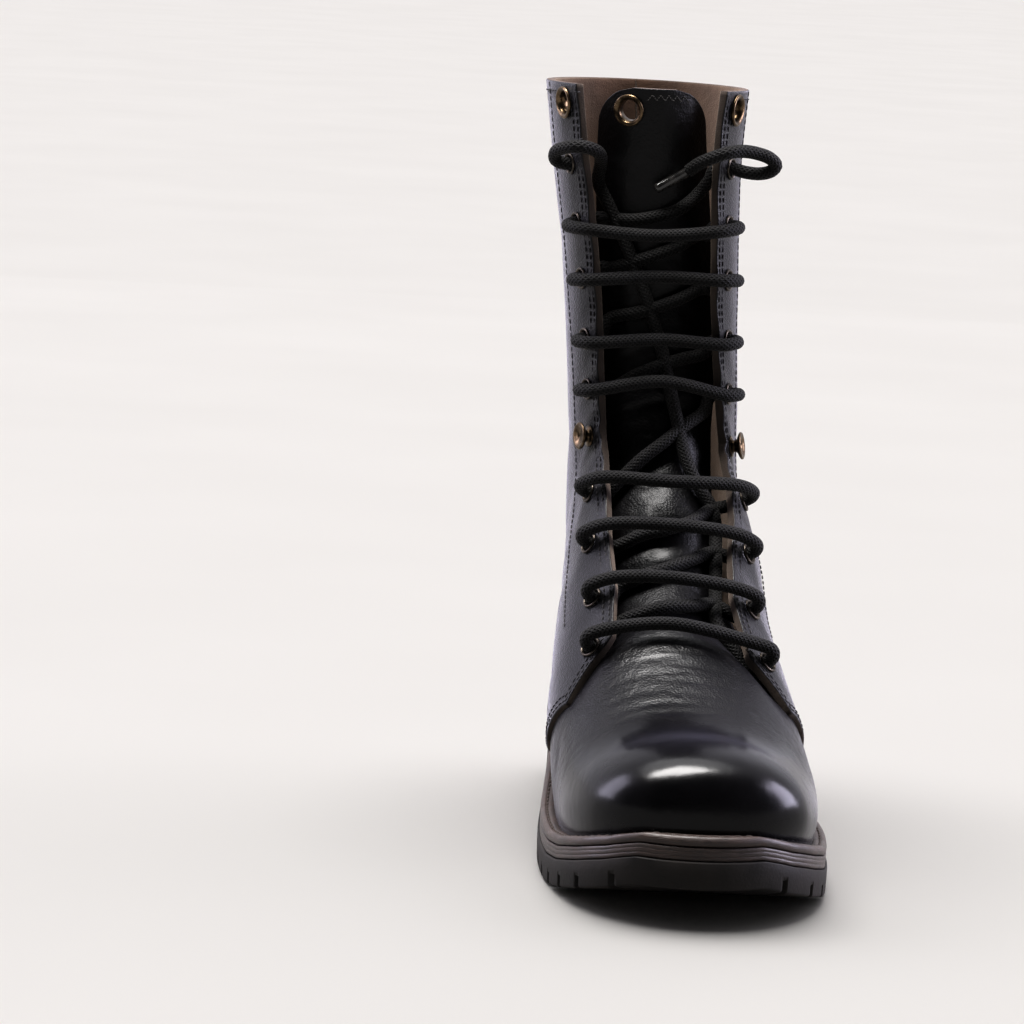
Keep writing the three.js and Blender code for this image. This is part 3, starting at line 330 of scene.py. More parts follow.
def section_at(u):
    """A section between the listed ones, on a smooth curve through them."""
    index = np.clip(np.floor(u).astype(int), 0, COLLAR_SECTION - 1)
    t = (u - index)[..., None]
    b, c = ROWS[index], ROWS[index + 1]
    slope_b = np.where(index[..., None] == 0, c - b, (c - ROWS[np.maximum(index - 1, 0)]) / 2)
    after = ROWS[np.minimum(index + 2, COLLAR_SECTION)]
    slope_c = np.where(index[..., None] + 2 > COLLAR_SECTION, c - b, (after - b) / 2)
    t2, t3 = t * t, t**3
    row = (2 * t3 - 3 * t2 + 1) * b + (t3 - 2 * t2 + t) * slope_b
    row = row + (3 * t2 - 2 * t3) * c + (t3 - t2) * slope_c
    row[..., 6:8] = np.maximum(row[..., 6:8], 0)
    return row


def on_sections(u, v):
    s = section_at(u)
    inner = v < 0
    side = np.where(inner, -1, 1)
    belly = np.where(inner, s[..., 8], s[..., 9])
    feather = np.where(inner, s[..., 6], s[..., 7])
    tuck, low, crown, sweep = s[..., 10], s[..., 11], s[..., 12], s[..., 13]
    reach = np.abs(v) * 2
    over = np.minimum(reach, 1)
    under = np.maximum(reach - 1, 0)
    rest = 1 - low
    across = np.where(
        reach <= 1, bezier(0, crown * belly, belly, belly, over),
        bezier(belly, belly, feather + tuck, feather, under))
    down = np.where(
        reach <= 1, bezier(0, 0, low * BELLY_PULL, low, over),
        bezier(low, low + rest / 2, 1 - sweep * rest, 1, under))
    ridge, base = s[..., 0:3], s[..., 3:6]
    point = ridge + (base - ridge) * down[..., None]
    point[..., 0] += side * across
    return point


def on_last(u, v):
    """The last's face: u counts sections, v runs from inner to outer foot over the ridge."""
    u, v = np.broadcast_arrays(np.asarray(u, float), np.asarray(v, float))
    point = on_sections(np.minimum(u, COLLAR_SECTION), v)
    over = np.maximum(u - COLLAR_SECTION, 0)[..., None]
    if over.any():
        rim = on_sections(np.full_like(u, COLLAR_SECTION), v)
        below = on_sections(np.full_like(u, COLLAR_SECTION - 1), v)
        point = np.where(over > 0, rim + (rim - below) * over, point)
    return point


def normal_on_last(u, v):
    """Outwards from the last's face. Above the heel v closes into a ring."""
    u, v = np.broadcast_arrays(np.asarray(u, float), np.asarray(v, float))
    at_seam = np.abs(u - HEEL_SECTION) < U_STEP
    place = np.where(at_seam, HEEL_SECTION + U_STEP, np.clip(u, U_STEP, COLLAR_SECTION - U_STEP))
    wraps = place >= HEEL_SECTION + U_STEP
    before, after = v - V_STEP, v + V_STEP
    before = np.where(before < -1, np.where(wraps, before + 2, -1), before)
    after = np.where(after > 1, np.where(wraps, after - 2, 1), after)
    along_u = on_last(place + U_STEP, v) - on_last(place - U_STEP, v)
    along_v = on_last(place, after) - on_last(place, before)
    return unit(np.cross(along_v, along_u))


def raised(u, v, height):
    """A place over the last's face, or under it."""
    u, v = np.broadcast_arrays(np.asarray(u, float), np.asarray(v, float))
    v = np.where(v > 1, v - 2, np.where(v < -1, v + 2, v))
    return on_last(u, v) + normal_on_last(u, v) * np.asarray(height, float)[..., None]


def tongue_face(u, side):
    """The tongue's outer face, side millimetres off its middle."""
    u, side = np.broadcast_arrays(np.asarray(u, float), np.asarray(side, float))
    depth = np.interp(u, TONGUE[:, 0], TONGUE[:, 1]) * BALL_WIDTH
    curl = np.interp(u, TONGUE[:, 0], TONGUE[:, 3]) / BALL_WIDTH
    ridge = section_at(np.minimum(u, COLLAR_SECTION))
    back = unit((ridge[..., 3:6] - ridge[..., 0:3]) * np.array([0, 1, 1]))
    point = on_last(u, 0 * u) - normal_on_last(u, 0 * u) * depth[..., None]
    point = point + back * (curl * side * side)[..., None]
    point[..., 0] += side
    return point


def off_tongue(u, side, height):
    u, side = np.broadcast_arrays(np.asarray(u, float), np.asarray(side, float))
    across = tongue_face(u, side + 1) - tongue_face(u, side - 1)
    upwards = tongue_face(u + 0.1, side) - tongue_face(u - 0.1, side)
    out = unit(np.cross(across, upwards))
    return tongue_face(u, side) + out * np.asarray(height, float)[..., None]


def throat_edge(u, side):
    """v of the facing's edge."""
    return side * np.interp(u, THROAT[:, 0], THROAT[:, 1 if side < 0 else 2])


def behind_throat(u, side, inset):
    """v of the place that lies inset millimetres behind the throat's edge."""
    edge = throat_edge(u, side)
    reach = np.linalg.norm(on_last(u, edge + side * V_STEP) - on_last(u, edge), axis=-1) / V_STEP
    return edge + side * inset / reach


def quarter_front(v):
    """u of the quarters' front edge."""
    return np.interp(np.abs(v), QUARTER_FRONT[:, 0], QUARTER_FRONT[:, 1])


# Meshes from grids of points

class Skin:
    """Collects points and four-sided faces, with a material and a UV place for each."""

    def __init__(self):
        self.points = []
        self.faces = []
        self.kinds = []
        self.uvs = []

    def add(self, points):
        first = sum(len(block) for block in self.points)
        self.points.append(points.reshape(-1, 3))
        return first + np.arange(points[..., 0].size).reshape(points.shape[:-1])

    def grid(self, index, kind=0, uv=None, flip=False):
        def corners(a):
            return np.stack([a[:-1, :-1], a[:-1, 1:], a[1:, 1:], a[1:, :-1]], axis=2)

        faces = corners(index).reshape(-1, 4)
        if uv is None:
            uv = np.zeros(index.shape + (2,))
        places = corners(uv).reshape(-1, 4, 2)
        if flip:
            faces, places = faces[:, ::-1], places[:, ::-1]
        self.faces.append(faces)
        self.uvs.append(places)
        self.kinds.append(np.full(len(faces), kind))

    def build(self, name, materials):
        mesh = bpy.data.meshes.new(name)
        points = np.concatenate(self.points) + ORIGIN
        mesh.from_pydata((points * MM).tolist(), [], np.concatenate(self.faces).tolist())
        for material in materials:
            mesh.materials.append(material)
        mesh.polygons.foreach_set("material_index", np.concatenate(self.kinds).astype(np.int32))
        smoothed(mesh)
        layer = mesh.uv_layers.new(name="UVMap")
        layer.data.foreach_set("uv", np.concatenate(self.uvs).astype(np.float32).ravel())
        mesh.update()
        return placed(name, mesh)


def border(rows, columns):
    """Places round a grid's edge in order, and for each the place one step further in."""
    edge = np.array(
        [(0, j) for j in range(columns)] + [(i, columns - 1) for i in range(1, rows)]
        + [(rows - 1, j) for j in range(columns - 2, -1, -1)]
        + [(i, 0) for i in range(rows - 2, 0, -1)])
    return edge, np.clip(edge, 1, [rows - 2, columns - 2])


ROUND_ANGLES = np.radians([30, 60, 90])


def add_shell(skin, outer, inner, rounding=0.7, kinds=(0, 1, 2)):
    """A wall between two grids of points, closed round its edge and rounded there."""
    edge, inward = border(*outer.shape[:2])
    at, into = (edge[:, 0], edge[:, 1]), (inward[:, 0], inward[:, 1])
    rings = []
    tops = []
    for near, far in ((outer, inner), (inner, outer)):
        start = near[at]
        run, drop = near[into] - start, far[at] - start
        length = np.linalg.norm(run, axis=1)
        wall = np.linalg.norm(drop, axis=1)
        radius = np.minimum(rounding, np.minimum(0.45 * wall, 0.8 * length))[:, None]
        a, b = unit(run) * radius, unit(drop) * radius
        moved = near.copy()
        moved[at] = start + a
        tops.append(skin.add(moved))
        rings.append([
            skin.add(start + a + b - b * math.cos(t) - a * math.sin(t)) for t in ROUND_ANGLES])
    skin.grid(tops[0], kinds[0])
    skin.grid(tops[1], kinds[1], flip=True)
    chain = [tops[0][at], *rings[0], *rings[1][::-1], tops[1][at]]
    sides = [kinds[0], kinds[0], kinds[2], kinds[2], kinds[2], kinds[2], kinds[1]]
    for ring, below, kind in zip(chain, chain[1:], sides):
        skin.grid(np.stack([np.append(below, below[0]), np.append(ring, ring[0])]), kind)
    return tops


def shell_piece(name, outer, inner, materials, rounding=0.7):
    skin = Skin()
    add_shell(skin, outer, inner, rounding)
    return skin.build(name, materials)


def plain_mesh(piece):
    """Turns what the modifiers make into the piece's own mesh."""
    depsgraph = bpy.context.evaluated_depsgraph_get()
    mesh = bpy.data.meshes.new_from_object(piece.evaluated_get(depsgraph))
    piece.modifiers.clear()
    piece.data = mesh
    return piece


def cut_out(piece, cutter):
    modifier = piece.modifiers.new("cut", "BOOLEAN")
    modifier.operation = "DIFFERENCE"
    modifier.solver = "MANIFOLD"
    modifier.object = cutter
    plain_mesh(piece)
    bpy.data.objects.remove(cutter)
    return piece


def finished(piece, slot, *nodes):
    """Every piece rides on the one body, and stands for its CAD nodes."""
    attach(piece, BODY)
    if nodes:
        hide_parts(*nodes)
    return piece


# Materials

class Finish:
    """A material, with short ways to add the nodes that shade it."""

    def __init__(self, name, **sockets):
        self.material = bpy.data.materials.new(name)
        self.material.use_nodes = True
        self.tree = self.material.node_tree
        self.shader = self.tree.nodes["Principled BSDF"]
        for socket, value in sockets.items():
            self.shader.inputs[socket.replace("_", " ")].default_value = value
        self.place = self.tree.nodes.new("ShaderNodeTexCoord").outputs["Object"]

    def node(self, kind, links=None, values=None, **settings):
        return add_node(self.tree, "ShaderNode" + kind, links, values, **settings)

    def noise(self, scale, detail=3, place=None, stretch=None):
        place = place or self.place
        if stretch:
            place = self.node("Mapping", {"Vector": place}, {"Scale": stretch}).outputs[0]
        values = {"Scale": scale, "Detail": detail}
        return self.node("TexNoise", {"Vector": place}, values).outputs["Fac"]

    def cells(self, scale):
        return self.node("TexVoronoi", {"Vector": self.place}, {"Scale": scale}).outputs["Distance"]

    def ramp(self, source, *stops):
        made = self.node("ValToRGB", {"Fac": source})
        elements = made.color_ramp.elements
        while len(elements) < len(stops):
            elements.new(0.5)
        for element, (at, colour) in zip(elements, stops):
            element.position = at
            element.color = (*colour, 1) if isinstance(colour, tuple) else (colour,) * 3 + (1,)
        return made.outputs["Color"]

    def scaled(self, source, low, high, start=0.0, end=1.0):
        values = {"From Min": start, "From Max": end, "To Min": low, "To Max": high}
        return self.node("MapRange", {"Value": source}, values).outputs["Result"]

    def maths(self, operation, a, b):
        made = self.node("Math", operation=operation)
        for slot, value in ((0, a), (1, b)):
            if isinstance(value, (int, float)):
                made.inputs[slot].default_value = value
            else:
                self.tree.links.new(value, made.inputs[slot])
        return made.outputs[0]

    def into(self, socket, source):
        self.tree.links.new(source, self.shader.inputs[socket])

    def bumps(self, *layers):
        normal = None
        for height, distance, strength in layers:
            values = {"Distance": distance, "Strength": strength}
            links = {"Height": height}
            if normal:
                links["Normal"] = normal
            normal = self.node("Bump", links, values).outputs["Normal"]
        self.into("Normal", normal)


def black_leather(name, roughness=0.34, grain=0.5, shine="", sheen=0.22, crinkle=0.0):
    """Black boot leather. shine names an attribute that is 1 where it is polished."""
    finish = Finish(name, Sheen_Weight=sheen, Sheen_Roughness=0.28, Coat_Weight=0.1, Coat_Roughness=0.2)
    finish.shader.inputs["Sheen Tint"].default_value = (0.72, 0.7, 0.86, 1)
    finish.shader.inputs["Specular IOR Level"].default_value = 0.2
    clouds = finish.noise(38, 5)
    base_tint = finish.ramp(clouds, (0.3, (0.0015, 0.0014, 0.0018)), (0.75, (0.005, 0.0045, 0.0055)))
    finish.into("Base Color", base_tint)
    rough = finish.scaled(clouds, roughness - 0.07, roughness + 0.09, 0.3, 0.7)
    pores = finish.cells(1150)
    creases = finish.noise(420, 4)
    grain_height = finish.maths("ADD", pores, finish.maths("MULTIPLY", creases, 0.7))
    if crinkle:
        crinkles = finish.maths("MULTIPLY", finish.noise(250, 5), crinkle)
        grain_height = finish.maths("ADD", grain_height, crinkles)
    if shine:
        polish = finish.node("Attribute", attribute_name=shine).outputs["Fac"]
        rough = finish.maths("MULTIPLY", rough, finish.scaled(polish, 1, 0.66))
        grain_height = finish.maths("MULTIPLY", grain_height, finish.scaled(polish, 1, 0.05))
    finish.into("Roughness", rough)
    finish.bumps((grain_height, 0.00022 * grain, 0.8), (finish.noise(90, 2), 0.0009 * grain, 0.25))
    return finish.material


def brown_suede(name, dark, light):
    finish = Finish(name, Sheen_Weight=0.35, Sheen_Roughness=0.6, Roughness=0.92)
    finish.shader.inputs["Sheen Tint"].default_value = (0.75, 0.62, 0.52, 1)
    finish.shader.inputs["Specular IOR Level"].default_value = 0.15
    mottle = finish.noise(60, 6)
    finish.into("Base Color", finish.ramp(mottle, (0.3, dark), (0.7, light)))
    finish.bumps((finish.noise(1600, 3), 0.0003, 0.7), (finish.noise(260, 4), 0.0006, 0.4))
    return finish.material


def stacked_leather(name, dark, light):
    """A trimmed and waxed leather edge, with streaks along it. UV: round the edge, and up."""
    finish = Finish(name, Coat_Weight=0.25, Coat_Roughness=0.3)
    uv = finish.tree.nodes.new("ShaderNodeUVMap").outputs["UV"]
    streaks = finish.noise(1, 6, uv, (2.2, 34, 1))
    stains = finish.noise(1, 4, uv, (1.1, 2.5, 1))
    parts = finish.maths("MULTIPLY", streaks, 0.6), finish.maths("MULTIPLY", stains, 0.4)
    mixed = finish.maths("ADD", *parts)
    finish.into("Base Color", finish.ramp(mixed, (0.36, dark), (0.64, light)))
    finish.into("Roughness", finish.scaled(streaks, 0.36, 0.62, 0.3, 0.7))
    finish.bumps((finish.noise(1, 5, uv, (3, 60, 1)), 0.0004, 0.5))
    return finish.material


def sole_rubber():
    finish = Finish("sole_rubber")
    finish.shader.inputs["Specular IOR Level"].default_value = 0.25
    dust = finish.noise(45, 6)
    worn = finish.ramp(dust, (0.35, (0.007, 0.006, 0.0055)), (0.75, (0.03, 0.026, 0.024)))
    finish.into("Base Color", worn)
    finish.into("Roughness", finish.scaled(dust, 0.5, 0.75, 0.3, 0.7))
    finish.bumps((finish.noise(900, 3), 0.0002, 0.5), (finish.noise(120, 3), 0.0006, 0.3))
    return finish.material


def braided_cord():
    """Round braid: two sets of strands that cross. UV: once round, and along in rounds."""
    finish = Finish("lace_braid", Sheen_Weight=0.06, Sheen_Roughness=0.4)
    finish.shader.inputs["Sheen Tint"].default_value = (0.8, 0.78, 0.76, 1)
    finish.shader.inputs["Specular IOR Level"].default_value = 0.2
    uv = finish.tree.nodes.new("ShaderNodeUVMap").outputs["UV"]
    split = finish.node("SeparateXYZ", {"Vector": uv}).outputs
    turns = 2 * math.pi * STRANDS
    strands = []
    for way in ("ADD", "SUBTRACT"):
        winding = finish.maths("MULTIPLY", finish.maths(way, split[0], split[1]), turns)
        strands.append(finish.maths("SINE", winding, 0))
    weave = finish.maths("MAXIMUM", *strands)
    hairs = finish.noise(1, 4, uv, (60, 60, 1))
    worn = finish.noise(120, 4)
    height = finish.maths("ADD", weave, finish.maths("MULTIPLY", hairs, 0.5))
    wear = finish.scaled(worn, 0.6, 1, 0.3, 0.7)
    # Painted shade: the base colour is darker in the weave's hollows than on its ridges, and random wear
    # dims it in patches.
    weave_shade_and_wear = finish.maths("MULTIPLY", finish.scaled(height, 0, 1, -0.2, 1.5), wear)
    base_tint = finish.ramp(weave_shade_and_wear, (0.2, (0.001, 0.001, 0.001)), (0.95, (0.016, 0.015, 0.015)))
    finish.into("Base Color", base_tint)
    finish.into("Roughness", finish.scaled(weave_shade_and_wear, 0.72, 0.5))
    finish.bumps((height, 0.00028, 0.75))
    return finish.material


def old_metal(name, dark, light, roughness=0.3):
    finish = Finish(name, Metallic=1)
    tarnish = finish.noise(420, 5)
    finish.into("Base Color", finish.ramp(tarnish, (0.3, dark), (0.65, light)))
    finish.into("Roughness", finish.scaled(tarnish, roughness + 0.15, roughness - 0.05, 0.3, 0.7))
    finish.bumps((finish.noise(1400, 2), 0.0001, 0.35))
    return finish.material


def sewing_thread(name, colour):
    finish = Finish(name, Sheen_Weight=0.1, Roughness=0.6)
    finish.shader.inputs["Specular IOR Level"].default_value = 0.2
    twist = finish.noise(2200, 2)
    finish.into("Base Color", finish.ramp(twist, (0.3, tuple(c * 0.55 for c in colour)), (0.7, colour)))
    finish.bumps((twist, 0.0001, 0.5))
    return finish.material


def lace_film():
    finish = Finish("aglet_film", Coat_Weight=0.6, Coat_Roughness=0.06)
    crimp = finish.noise(300, 3)
    tint = finish.ramp(crimp, (0.3, (0.006, 0.006, 0.006)), (0.7, (0.03, 0.028, 0.026)))
    finish.into("Base Color", tint)
    finish.into("Roughness", finish.scaled(crimp, 0.12, 0.3, 0.3, 0.7))
    finish.bumps((crimp, 0.0003, 0.4))
    return finish.material


STRANDS = 9
VAMP_LEATHER = black_leather("vamp_leather", 0.36, 1, "shine", sheen=0.16, crinkle=3)
QUARTER_LEATHER = black_leather("quarter_leather", 0.42, 1, sheen=0.5)
TONGUE_LEATHER = black_leather("tongue_leather", 0.42, 1, "shine", sheen=0, crinkle=3)
SUEDE = brown_suede("lining_suede", (0.035, 0.019, 0.012), (0.075, 0.043, 0.028))
RAW_EDGE = brown_suede("raw_edge", (0.01, 0.0075, 0.0065), (0.045, 0.035, 0.03))
WELT_LEATHER = stacked_leather("welt_leather", (0.009, 0.0045, 0.0035), (0.055, 0.033, 0.026))
SOLE_LEATHER = stacked_leather("sole_leather", (0.009, 0.0045, 0.0035), (0.05, 0.03, 0.024))
RUBBER = sole_rubber()
BRAID = braided_cord()
BRASS = old_metal("antique_brass", (0.022, 0.016, 0.01), (0.16, 0.115, 0.072), 0.28)
DARK_METAL = old_metal("eyelet_metal", (0.02, 0.017, 0.015), (0.11, 0.095, 0.08), 0.34)
BLACK_THREAD = sewing_thread("black_thread", (0.022, 0.02, 0.022))
WELT_THREAD = sewing_thread("welt_thread", (0.05, 0.036, 0.028))
GREY_THREAD = sewing_thread("grey_thread", (0.09, 0.085, 0.08))
FILM = lace_film()


# Camera: where the photograph was taken from, rolled as it was

CAMERA_PLACE = (-134.2, -1356.0, 315.0)
CAMERA_YAW = 2.8
CAMERA_PITCH = 7.70
CAMERA_ROLL = 2.9
FOCAL_PIXELS = 3400
IMAGE_PIXELS = 1024
SENSOR = 36


def place_camera():
    yaw, pitch, roll = (math.radians(a) for a in (CAMERA_YAW, CAMERA_PITCH, CAMERA_ROLL))
    forward = Vector((
        math.sin(yaw) * math.cos(pitch), math.cos(yaw) * math.cos(pitch), -math.sin(pitch)))
    right = Vector((math.cos(yaw), -math.sin(yaw), 0))
    up = right.cross(forward)
    turned_right = right * math.cos(roll) + up * math.sin(roll)
    turned_up = up * math.cos(roll) - right * math.sin(roll)
    data = bpy.data.cameras.new("camera")
    data.sensor_width = SENSOR
    data.lens = FOCAL_PIXELS / IMAGE_PIXELS * SENSOR
    data.clip_start = 0.05
    data.clip_end = 200
    camera = placed("camera", data)
    turn = Matrix((turned_right, turned_up, -forward)).transposed().to_4x4()
    camera.matrix_world = Matrix.Translation(Vector(CAMERA_PLACE) * MM) @ turn
    bpy.context.scene.camera = camera


place_camera()


# Places of the metal pieces: their centres on the leather's face and their axes

SIDES = {"inner": -1, "outer": 1}


def seat(u, side):
    """Centre and axis of a hole in the facing."""
    v = behind_throat(u, side, EYELET_INSET)
    return raised(u, v, QUARTER_STEP), normal_on_last(u, v)


def tongue_seat():
    u, side = TONGUE_GROMMET
    centre = tongue_face(u, side)
    return centre, unit(off_tongue(u, side, 1) - centre)


eyelets = {name: [seat(u, side) for u in EYELET_SECTIONS] for name, side in SIDES.items()}
grommets = [seat(GROMMET_SECTION, side) for side in SIDES.values()] + [tongue_seat()]
studs = [seat(STUD_SECTION, side) for side in SIDES.values()]


# Lace: one cord, from the inner top eyelet over the facing, down behind the bars to the
# lowest outer eyelet, then bar by bar up to the outer top eyelet and round to its tip

LACE_RADIUS = LACE_DIAMETER / 2
WALL_THROUGH = LINING_WALL + QUARTER_STEP
BEND_RADIUS = 4.2
BEND_ANGLES = [0, 0.5, 1.05, math.pi / 2]
EDGE_STAND_OFF = LACE_RADIUS + 1.5
EDGE_SHARE = 0.28
STRAND_HEIGHT = LACE_RADIUS + 1
LACE_STEP = 1.1
LACE_SIDES = 16


def spline(points, step):
    """A smooth line through the points, with even steps along it."""
    points = np.asarray(points, float)
    first, last = 2 * points[0] - points[1], 2 * points[-1] - points[-2]
    p = np.vstack([first, points, last])
    knots = np.concatenate([[0], np.cumsum(np.sqrt(np.diff(run_along(p))))])
    fine = []
    for i in range(1, len(p) - 2):
        t = np.linspace(knots[i], knots[i + 1], 24, endpoint=i == len(p) - 3)[:, None]
        t0, t1, t2, t3 = knots[i - 1:i + 3]
        a1 = ((t1 - t) * p[i - 1] + (t - t0) * p[i]) / (t1 - t0)
        a2 = ((t2 - t) * p[i] + (t - t1) * p[i + 1]) / (t2 - t1)
        a3 = ((t3 - t) * p[i + 1] + (t - t2) * p[i + 2]) / (t3 - t2)
        b1 = ((t2 - t) * a1 + (t - t0) * a2) / (t2 - t0)
        b2 = ((t3 - t) * a2 + (t - t1) * a3) / (t3 - t1)
        fine.append(((t2 - t) * b1 + (t - t1) * b2) / (t2 - t1))
    return even_steps(np.vstack(fine), step)


def even_steps(line, step):
    """The same line with points at even steps."""
    whole = length_of(line)
    count = max(4, int(round(whole / step)))
    return at_runs(line, np.linspace(0, whole, count + 1))


def length_of(line):
    return float(run_along(line)[-1])


def eyelet_turn(place, towards, way):
    """From an eyelet's hole round to the wall's face; way is 1 outside the boot."""
    centre, axis = place
    start = FACE_HEIGHT + GAP * 1.5 if way > 0 else -WALL_THROUGH - GAP * 2
    run = towards - centre
    run = unit(run - axis * (run @ axis))
    foot = centre + axis * start
    return [
        foot + axis * way * BEND_RADIUS * math.sin(a) + run * BEND_RADIUS * (1 - math.cos(a))
        for a in BEND_ANGLES]


def over_edge(u, side):
    """Where a bar passes over the facing's rounded edge."""
    v = throat_edge(u, side)
    lean = unit(normal_on_last(u, v) * 1.4 + normal_on_last(u, 0))
    return raised(u, v, QUARTER_STEP) + lean * EDGE_STAND_OFF


def bar_points(row):
    """Outer eyelet to inner eyelet, in front of the throat."""
    u, middle, depth, _ = LACE_ROWS[row]
    edge_u = lerp(u, middle, EDGE_SHARE)
    inner, outer = over_edge(edge_u, -1), over_edge(edge_u, 1)
    centre = on_last(middle, 0) - normal_on_last(middle, 0) * depth
    return [
        *eyelet_turn(eyelets["outer"][row], outer, 1), outer, centre, inner,
        *eyelet_turn(eyelets["inner"][row], inner, 1)[::-1]]


def strand_points(row):
    """Inner eyelet to the next outer eyelet, behind the facings."""
    places = LACE_ROWS[row][3]
    middle = [off_tongue(u, side, STRAND_HEIGHT) for u, side in zip(places, STRAND_SIDES)]
    return [
        *eyelet_turn(eyelets["inner"][row], middle[0], -1), *middle,
        *eyelet_turn(eyelets["outer"][row + 1], middle[-1], -1)[::-1]]


def lace_routes():
    """The free inner end, the fixed lace and the free outer end, as lines that join."""
    top_inner, top_outer = eyelets["inner"][-1], eyelets["outer"][-1]
    mouth = FACE_HEIGHT + GAP * 1.5
    inner_end = [top_inner[0] - top_inner[1] * WALL_THROUGH * 0.5, top_inner[0] + top_inner[1] * mouth]
    inner_end += [top_inner[0] + np.array(p) for p in INNER_LOOP[::-1]]
    runner = [off_tongue(u, side, STRAND_HEIGHT) for u, side in RUNNER]
    fixed = [*runner[::-1], *eyelet_turn(eyelets["outer"][0], runner[0], -1)[::-1]]
    for row in range(len(LACE_ROWS)):
        fixed += bar_points(row) + strand_points(row)
    outer_end = [top_outer[0] + top_outer[1] * mouth]
    outer_end += [top_outer[0] + np.array(p) for p in OUTER_LOOP]
    whole = spline(inner_end + fixed + outer_end, LACE_STEP)

    def nearest(point):
        return int(np.argmin(np.linalg.norm(whole - point, axis=1)))

    first, second = nearest(inner_end[-1]), nearest(outer_end[0])
    return whole[:first + 1], whole[first:second + 1], whole[second:]


def tube(name, line, radius, materials, sides=LACE_SIDES, closed_tip=0.0):
    """A round tube along a line. UV: once round it, and along it in rounds."""
    tangent = unit(np.gradient(line, axis=0))
    across = np.zeros_like(line)
    across[0] = unit(np.cross(tangent[0], [0.3, 0.2, 1]))
    for i in range(1, len(line)):
        across[i] = unit(across[i - 1] - tangent[i] * (across[i - 1] @ tangent[i]))
    other = np.cross(tangent, across)
    angle = np.linspace(0, 2 * math.pi, sides, endpoint=False)
    cos, sin = (turn(angle)[None, :, None] for turn in (np.cos, np.sin))
    ring = across[:, None] * cos + other[:, None] * sin
    skin = Skin()
    index = skin.add(line[:, None] + ring * radius)
    index = np.concatenate([index, index[:, :1]], axis=1)
    rounds = run_along(line) / (2 * math.pi * radius)
    along, turned_by = np.meshgrid(rounds, np.linspace(0, 1, sides + 1), indexing="ij")
    uv = np.stack([turned_by, along], axis=2)
    skin.grid(index, 0, uv)
    for end, way, flip in ((0, -1, True), (len(line) - 1, 1, False)):
        near = index[end]
        for share, lift in ((0.85, 0.35), (0.5, 0.62)):
            cap = skin.add(line[end] + ring[end] * radius * share + tangent[end] * way * lift * closed_tip)
            cap = np.append(cap, cap[0])
            skin.grid(np.stack([near, cap]), 0, flip=flip)
            near = cap
        tip = skin.add((line[end] + tangent[end] * way * 0.7 * closed_tip)[None])
        skin.grid(np.stack([near, np.full_like(near, tip[0])]), 0, flip=flip)
    piece = skin.build(name, materials)
    return merged(piece)


def merged(piece):
    """Drops doubled corners and the flat faces they leave, such as at a pole."""
    work = bmesh.new()
    work.from_mesh(piece.data)
    bmesh.ops.remove_doubles(work, verts=work.verts, dist=1e-7)
    bmesh.ops.dissolve_degenerate(work, edges=work.edges, dist=1e-8)
    work.to_mesh(piece.data)
    work.free()
    return piece


def make_laces():
    """The fixed lace, its two free ends and the tip on the outer one."""
    inner_line, fixed_line, outer_line = lace_routes()
    bars = [f"lace_bar_{row + 1}" for row in range(len(LACE_ROWS))]
    lace = tube("lace", fixed_line, LACE_RADIUS, [BRAID])
    finished(lace, "lace_cord", "lace_inside", *bars)
    aglet_line = spline([outer_line[-1], *[eyelets["outer"][-1][0] + np.array(p) for p in AGLET]], 0.8)
    aglet = tube("lace_tip", aglet_line, AGLET_DIAMETER / 2, [FILM], closed_tip=1.5)
    finished(aglet, "aglet_film", "lace_aglet")
    ends = (
        ("lace_end_inner", inner_line[::-1], "lace_loop_inner", "object", []),
        ("lace_end_outer", outer_line, "lace_loop_outer", "fitting", [aglet]),
    )
    for name, line, node, far_end, pieces in ends:
        end = tube(name, line, LACE_RADIUS, [BRAID])
        finished(end, "lace_cord", node)


make_laces()


def set_shine(piece, points, share):
    """Keeps with the outer points of a piece how far they are polished."""
    shine = np.zeros(len(piece.data.vertices), np.float32)
    shine[points.ravel()] = share.ravel()
    piece.data.attributes.new("shine", "FLOAT", "POINT").data.foreach_set("value", shine)


# Soft troughs and ridges in the leather

def creases(points, lines):
    """Height of the creases at each point. A line is three places, a depth and a width."""
    height = np.zeros(points.shape[:-1])
    for places, depth, width in lines:
        t = np.linspace(0, 1, 21)
        u = bezier(places[0][0], places[1][0], places[1][0], places[2][0], t)
        v = bezier(places[0][1], places[1][1], places[1][1], places[2][1], t)
        line = on_last(u, v)
        away = np.linalg.norm(points[..., None, :] - line, axis=-1)
        nearest = np.argmin(away, axis=-1)
        fade = np.sin(math.pi * t[nearest]) ** 0.7
        height -= depth * fade * np.exp(-(np.min(away, axis=-1) / width) ** 2)
    return height


# Across the vamp where the toes bend: start, middle and end as (u, v), depth and width
VAMP_CREASES = [
    (((5.62, -0.2), (5.5, -0.02), (5.72, 0.16)), 0.35, 2.6),
    (((5.95, -0.28), (5.78, -0.05), (5.86, 0.12)), 0.4, 2.2),
    (((6.1, -0.1), (6.02, 0.08), (6.22, 0.26)), 0.35, 1.9),
    (((6.3, -0.3), (6.16, -0.12), (6.24, 0.02)), 0.4, 1.7),
    (((6.42, -0.12), (6.34, 0.04), (6.5, 0.2)), 0.45, 1.5),
    (((6.62, -0.22), (6.52, -0.06), (6.56, 0.08)), 0.4, 1.4),
    (((6.76, -0.06), (6.68, 0.06), (6.86, 0.18)), 0.4, 1.3),
    (((6.9, -0.16), (6.82, -0.04), (6.9, 0.06)), 0.4, 1.2),
    (((7.04, -0.08), (6.98, 0.03), (7.08, 0.14)), 0.35, 1.2),
    (((7.2, -0.12), (7.14, 0), (7.22, 0.1)), 0.35, 1.2),
    (((6.2, 0.5), (6.5, 0.42), (6.9, 0.4)), 0.5, 3),
    (((6.1, -0.5), (6.4, -0.42), (6.8, -0.4)), 0.5, 3),
]

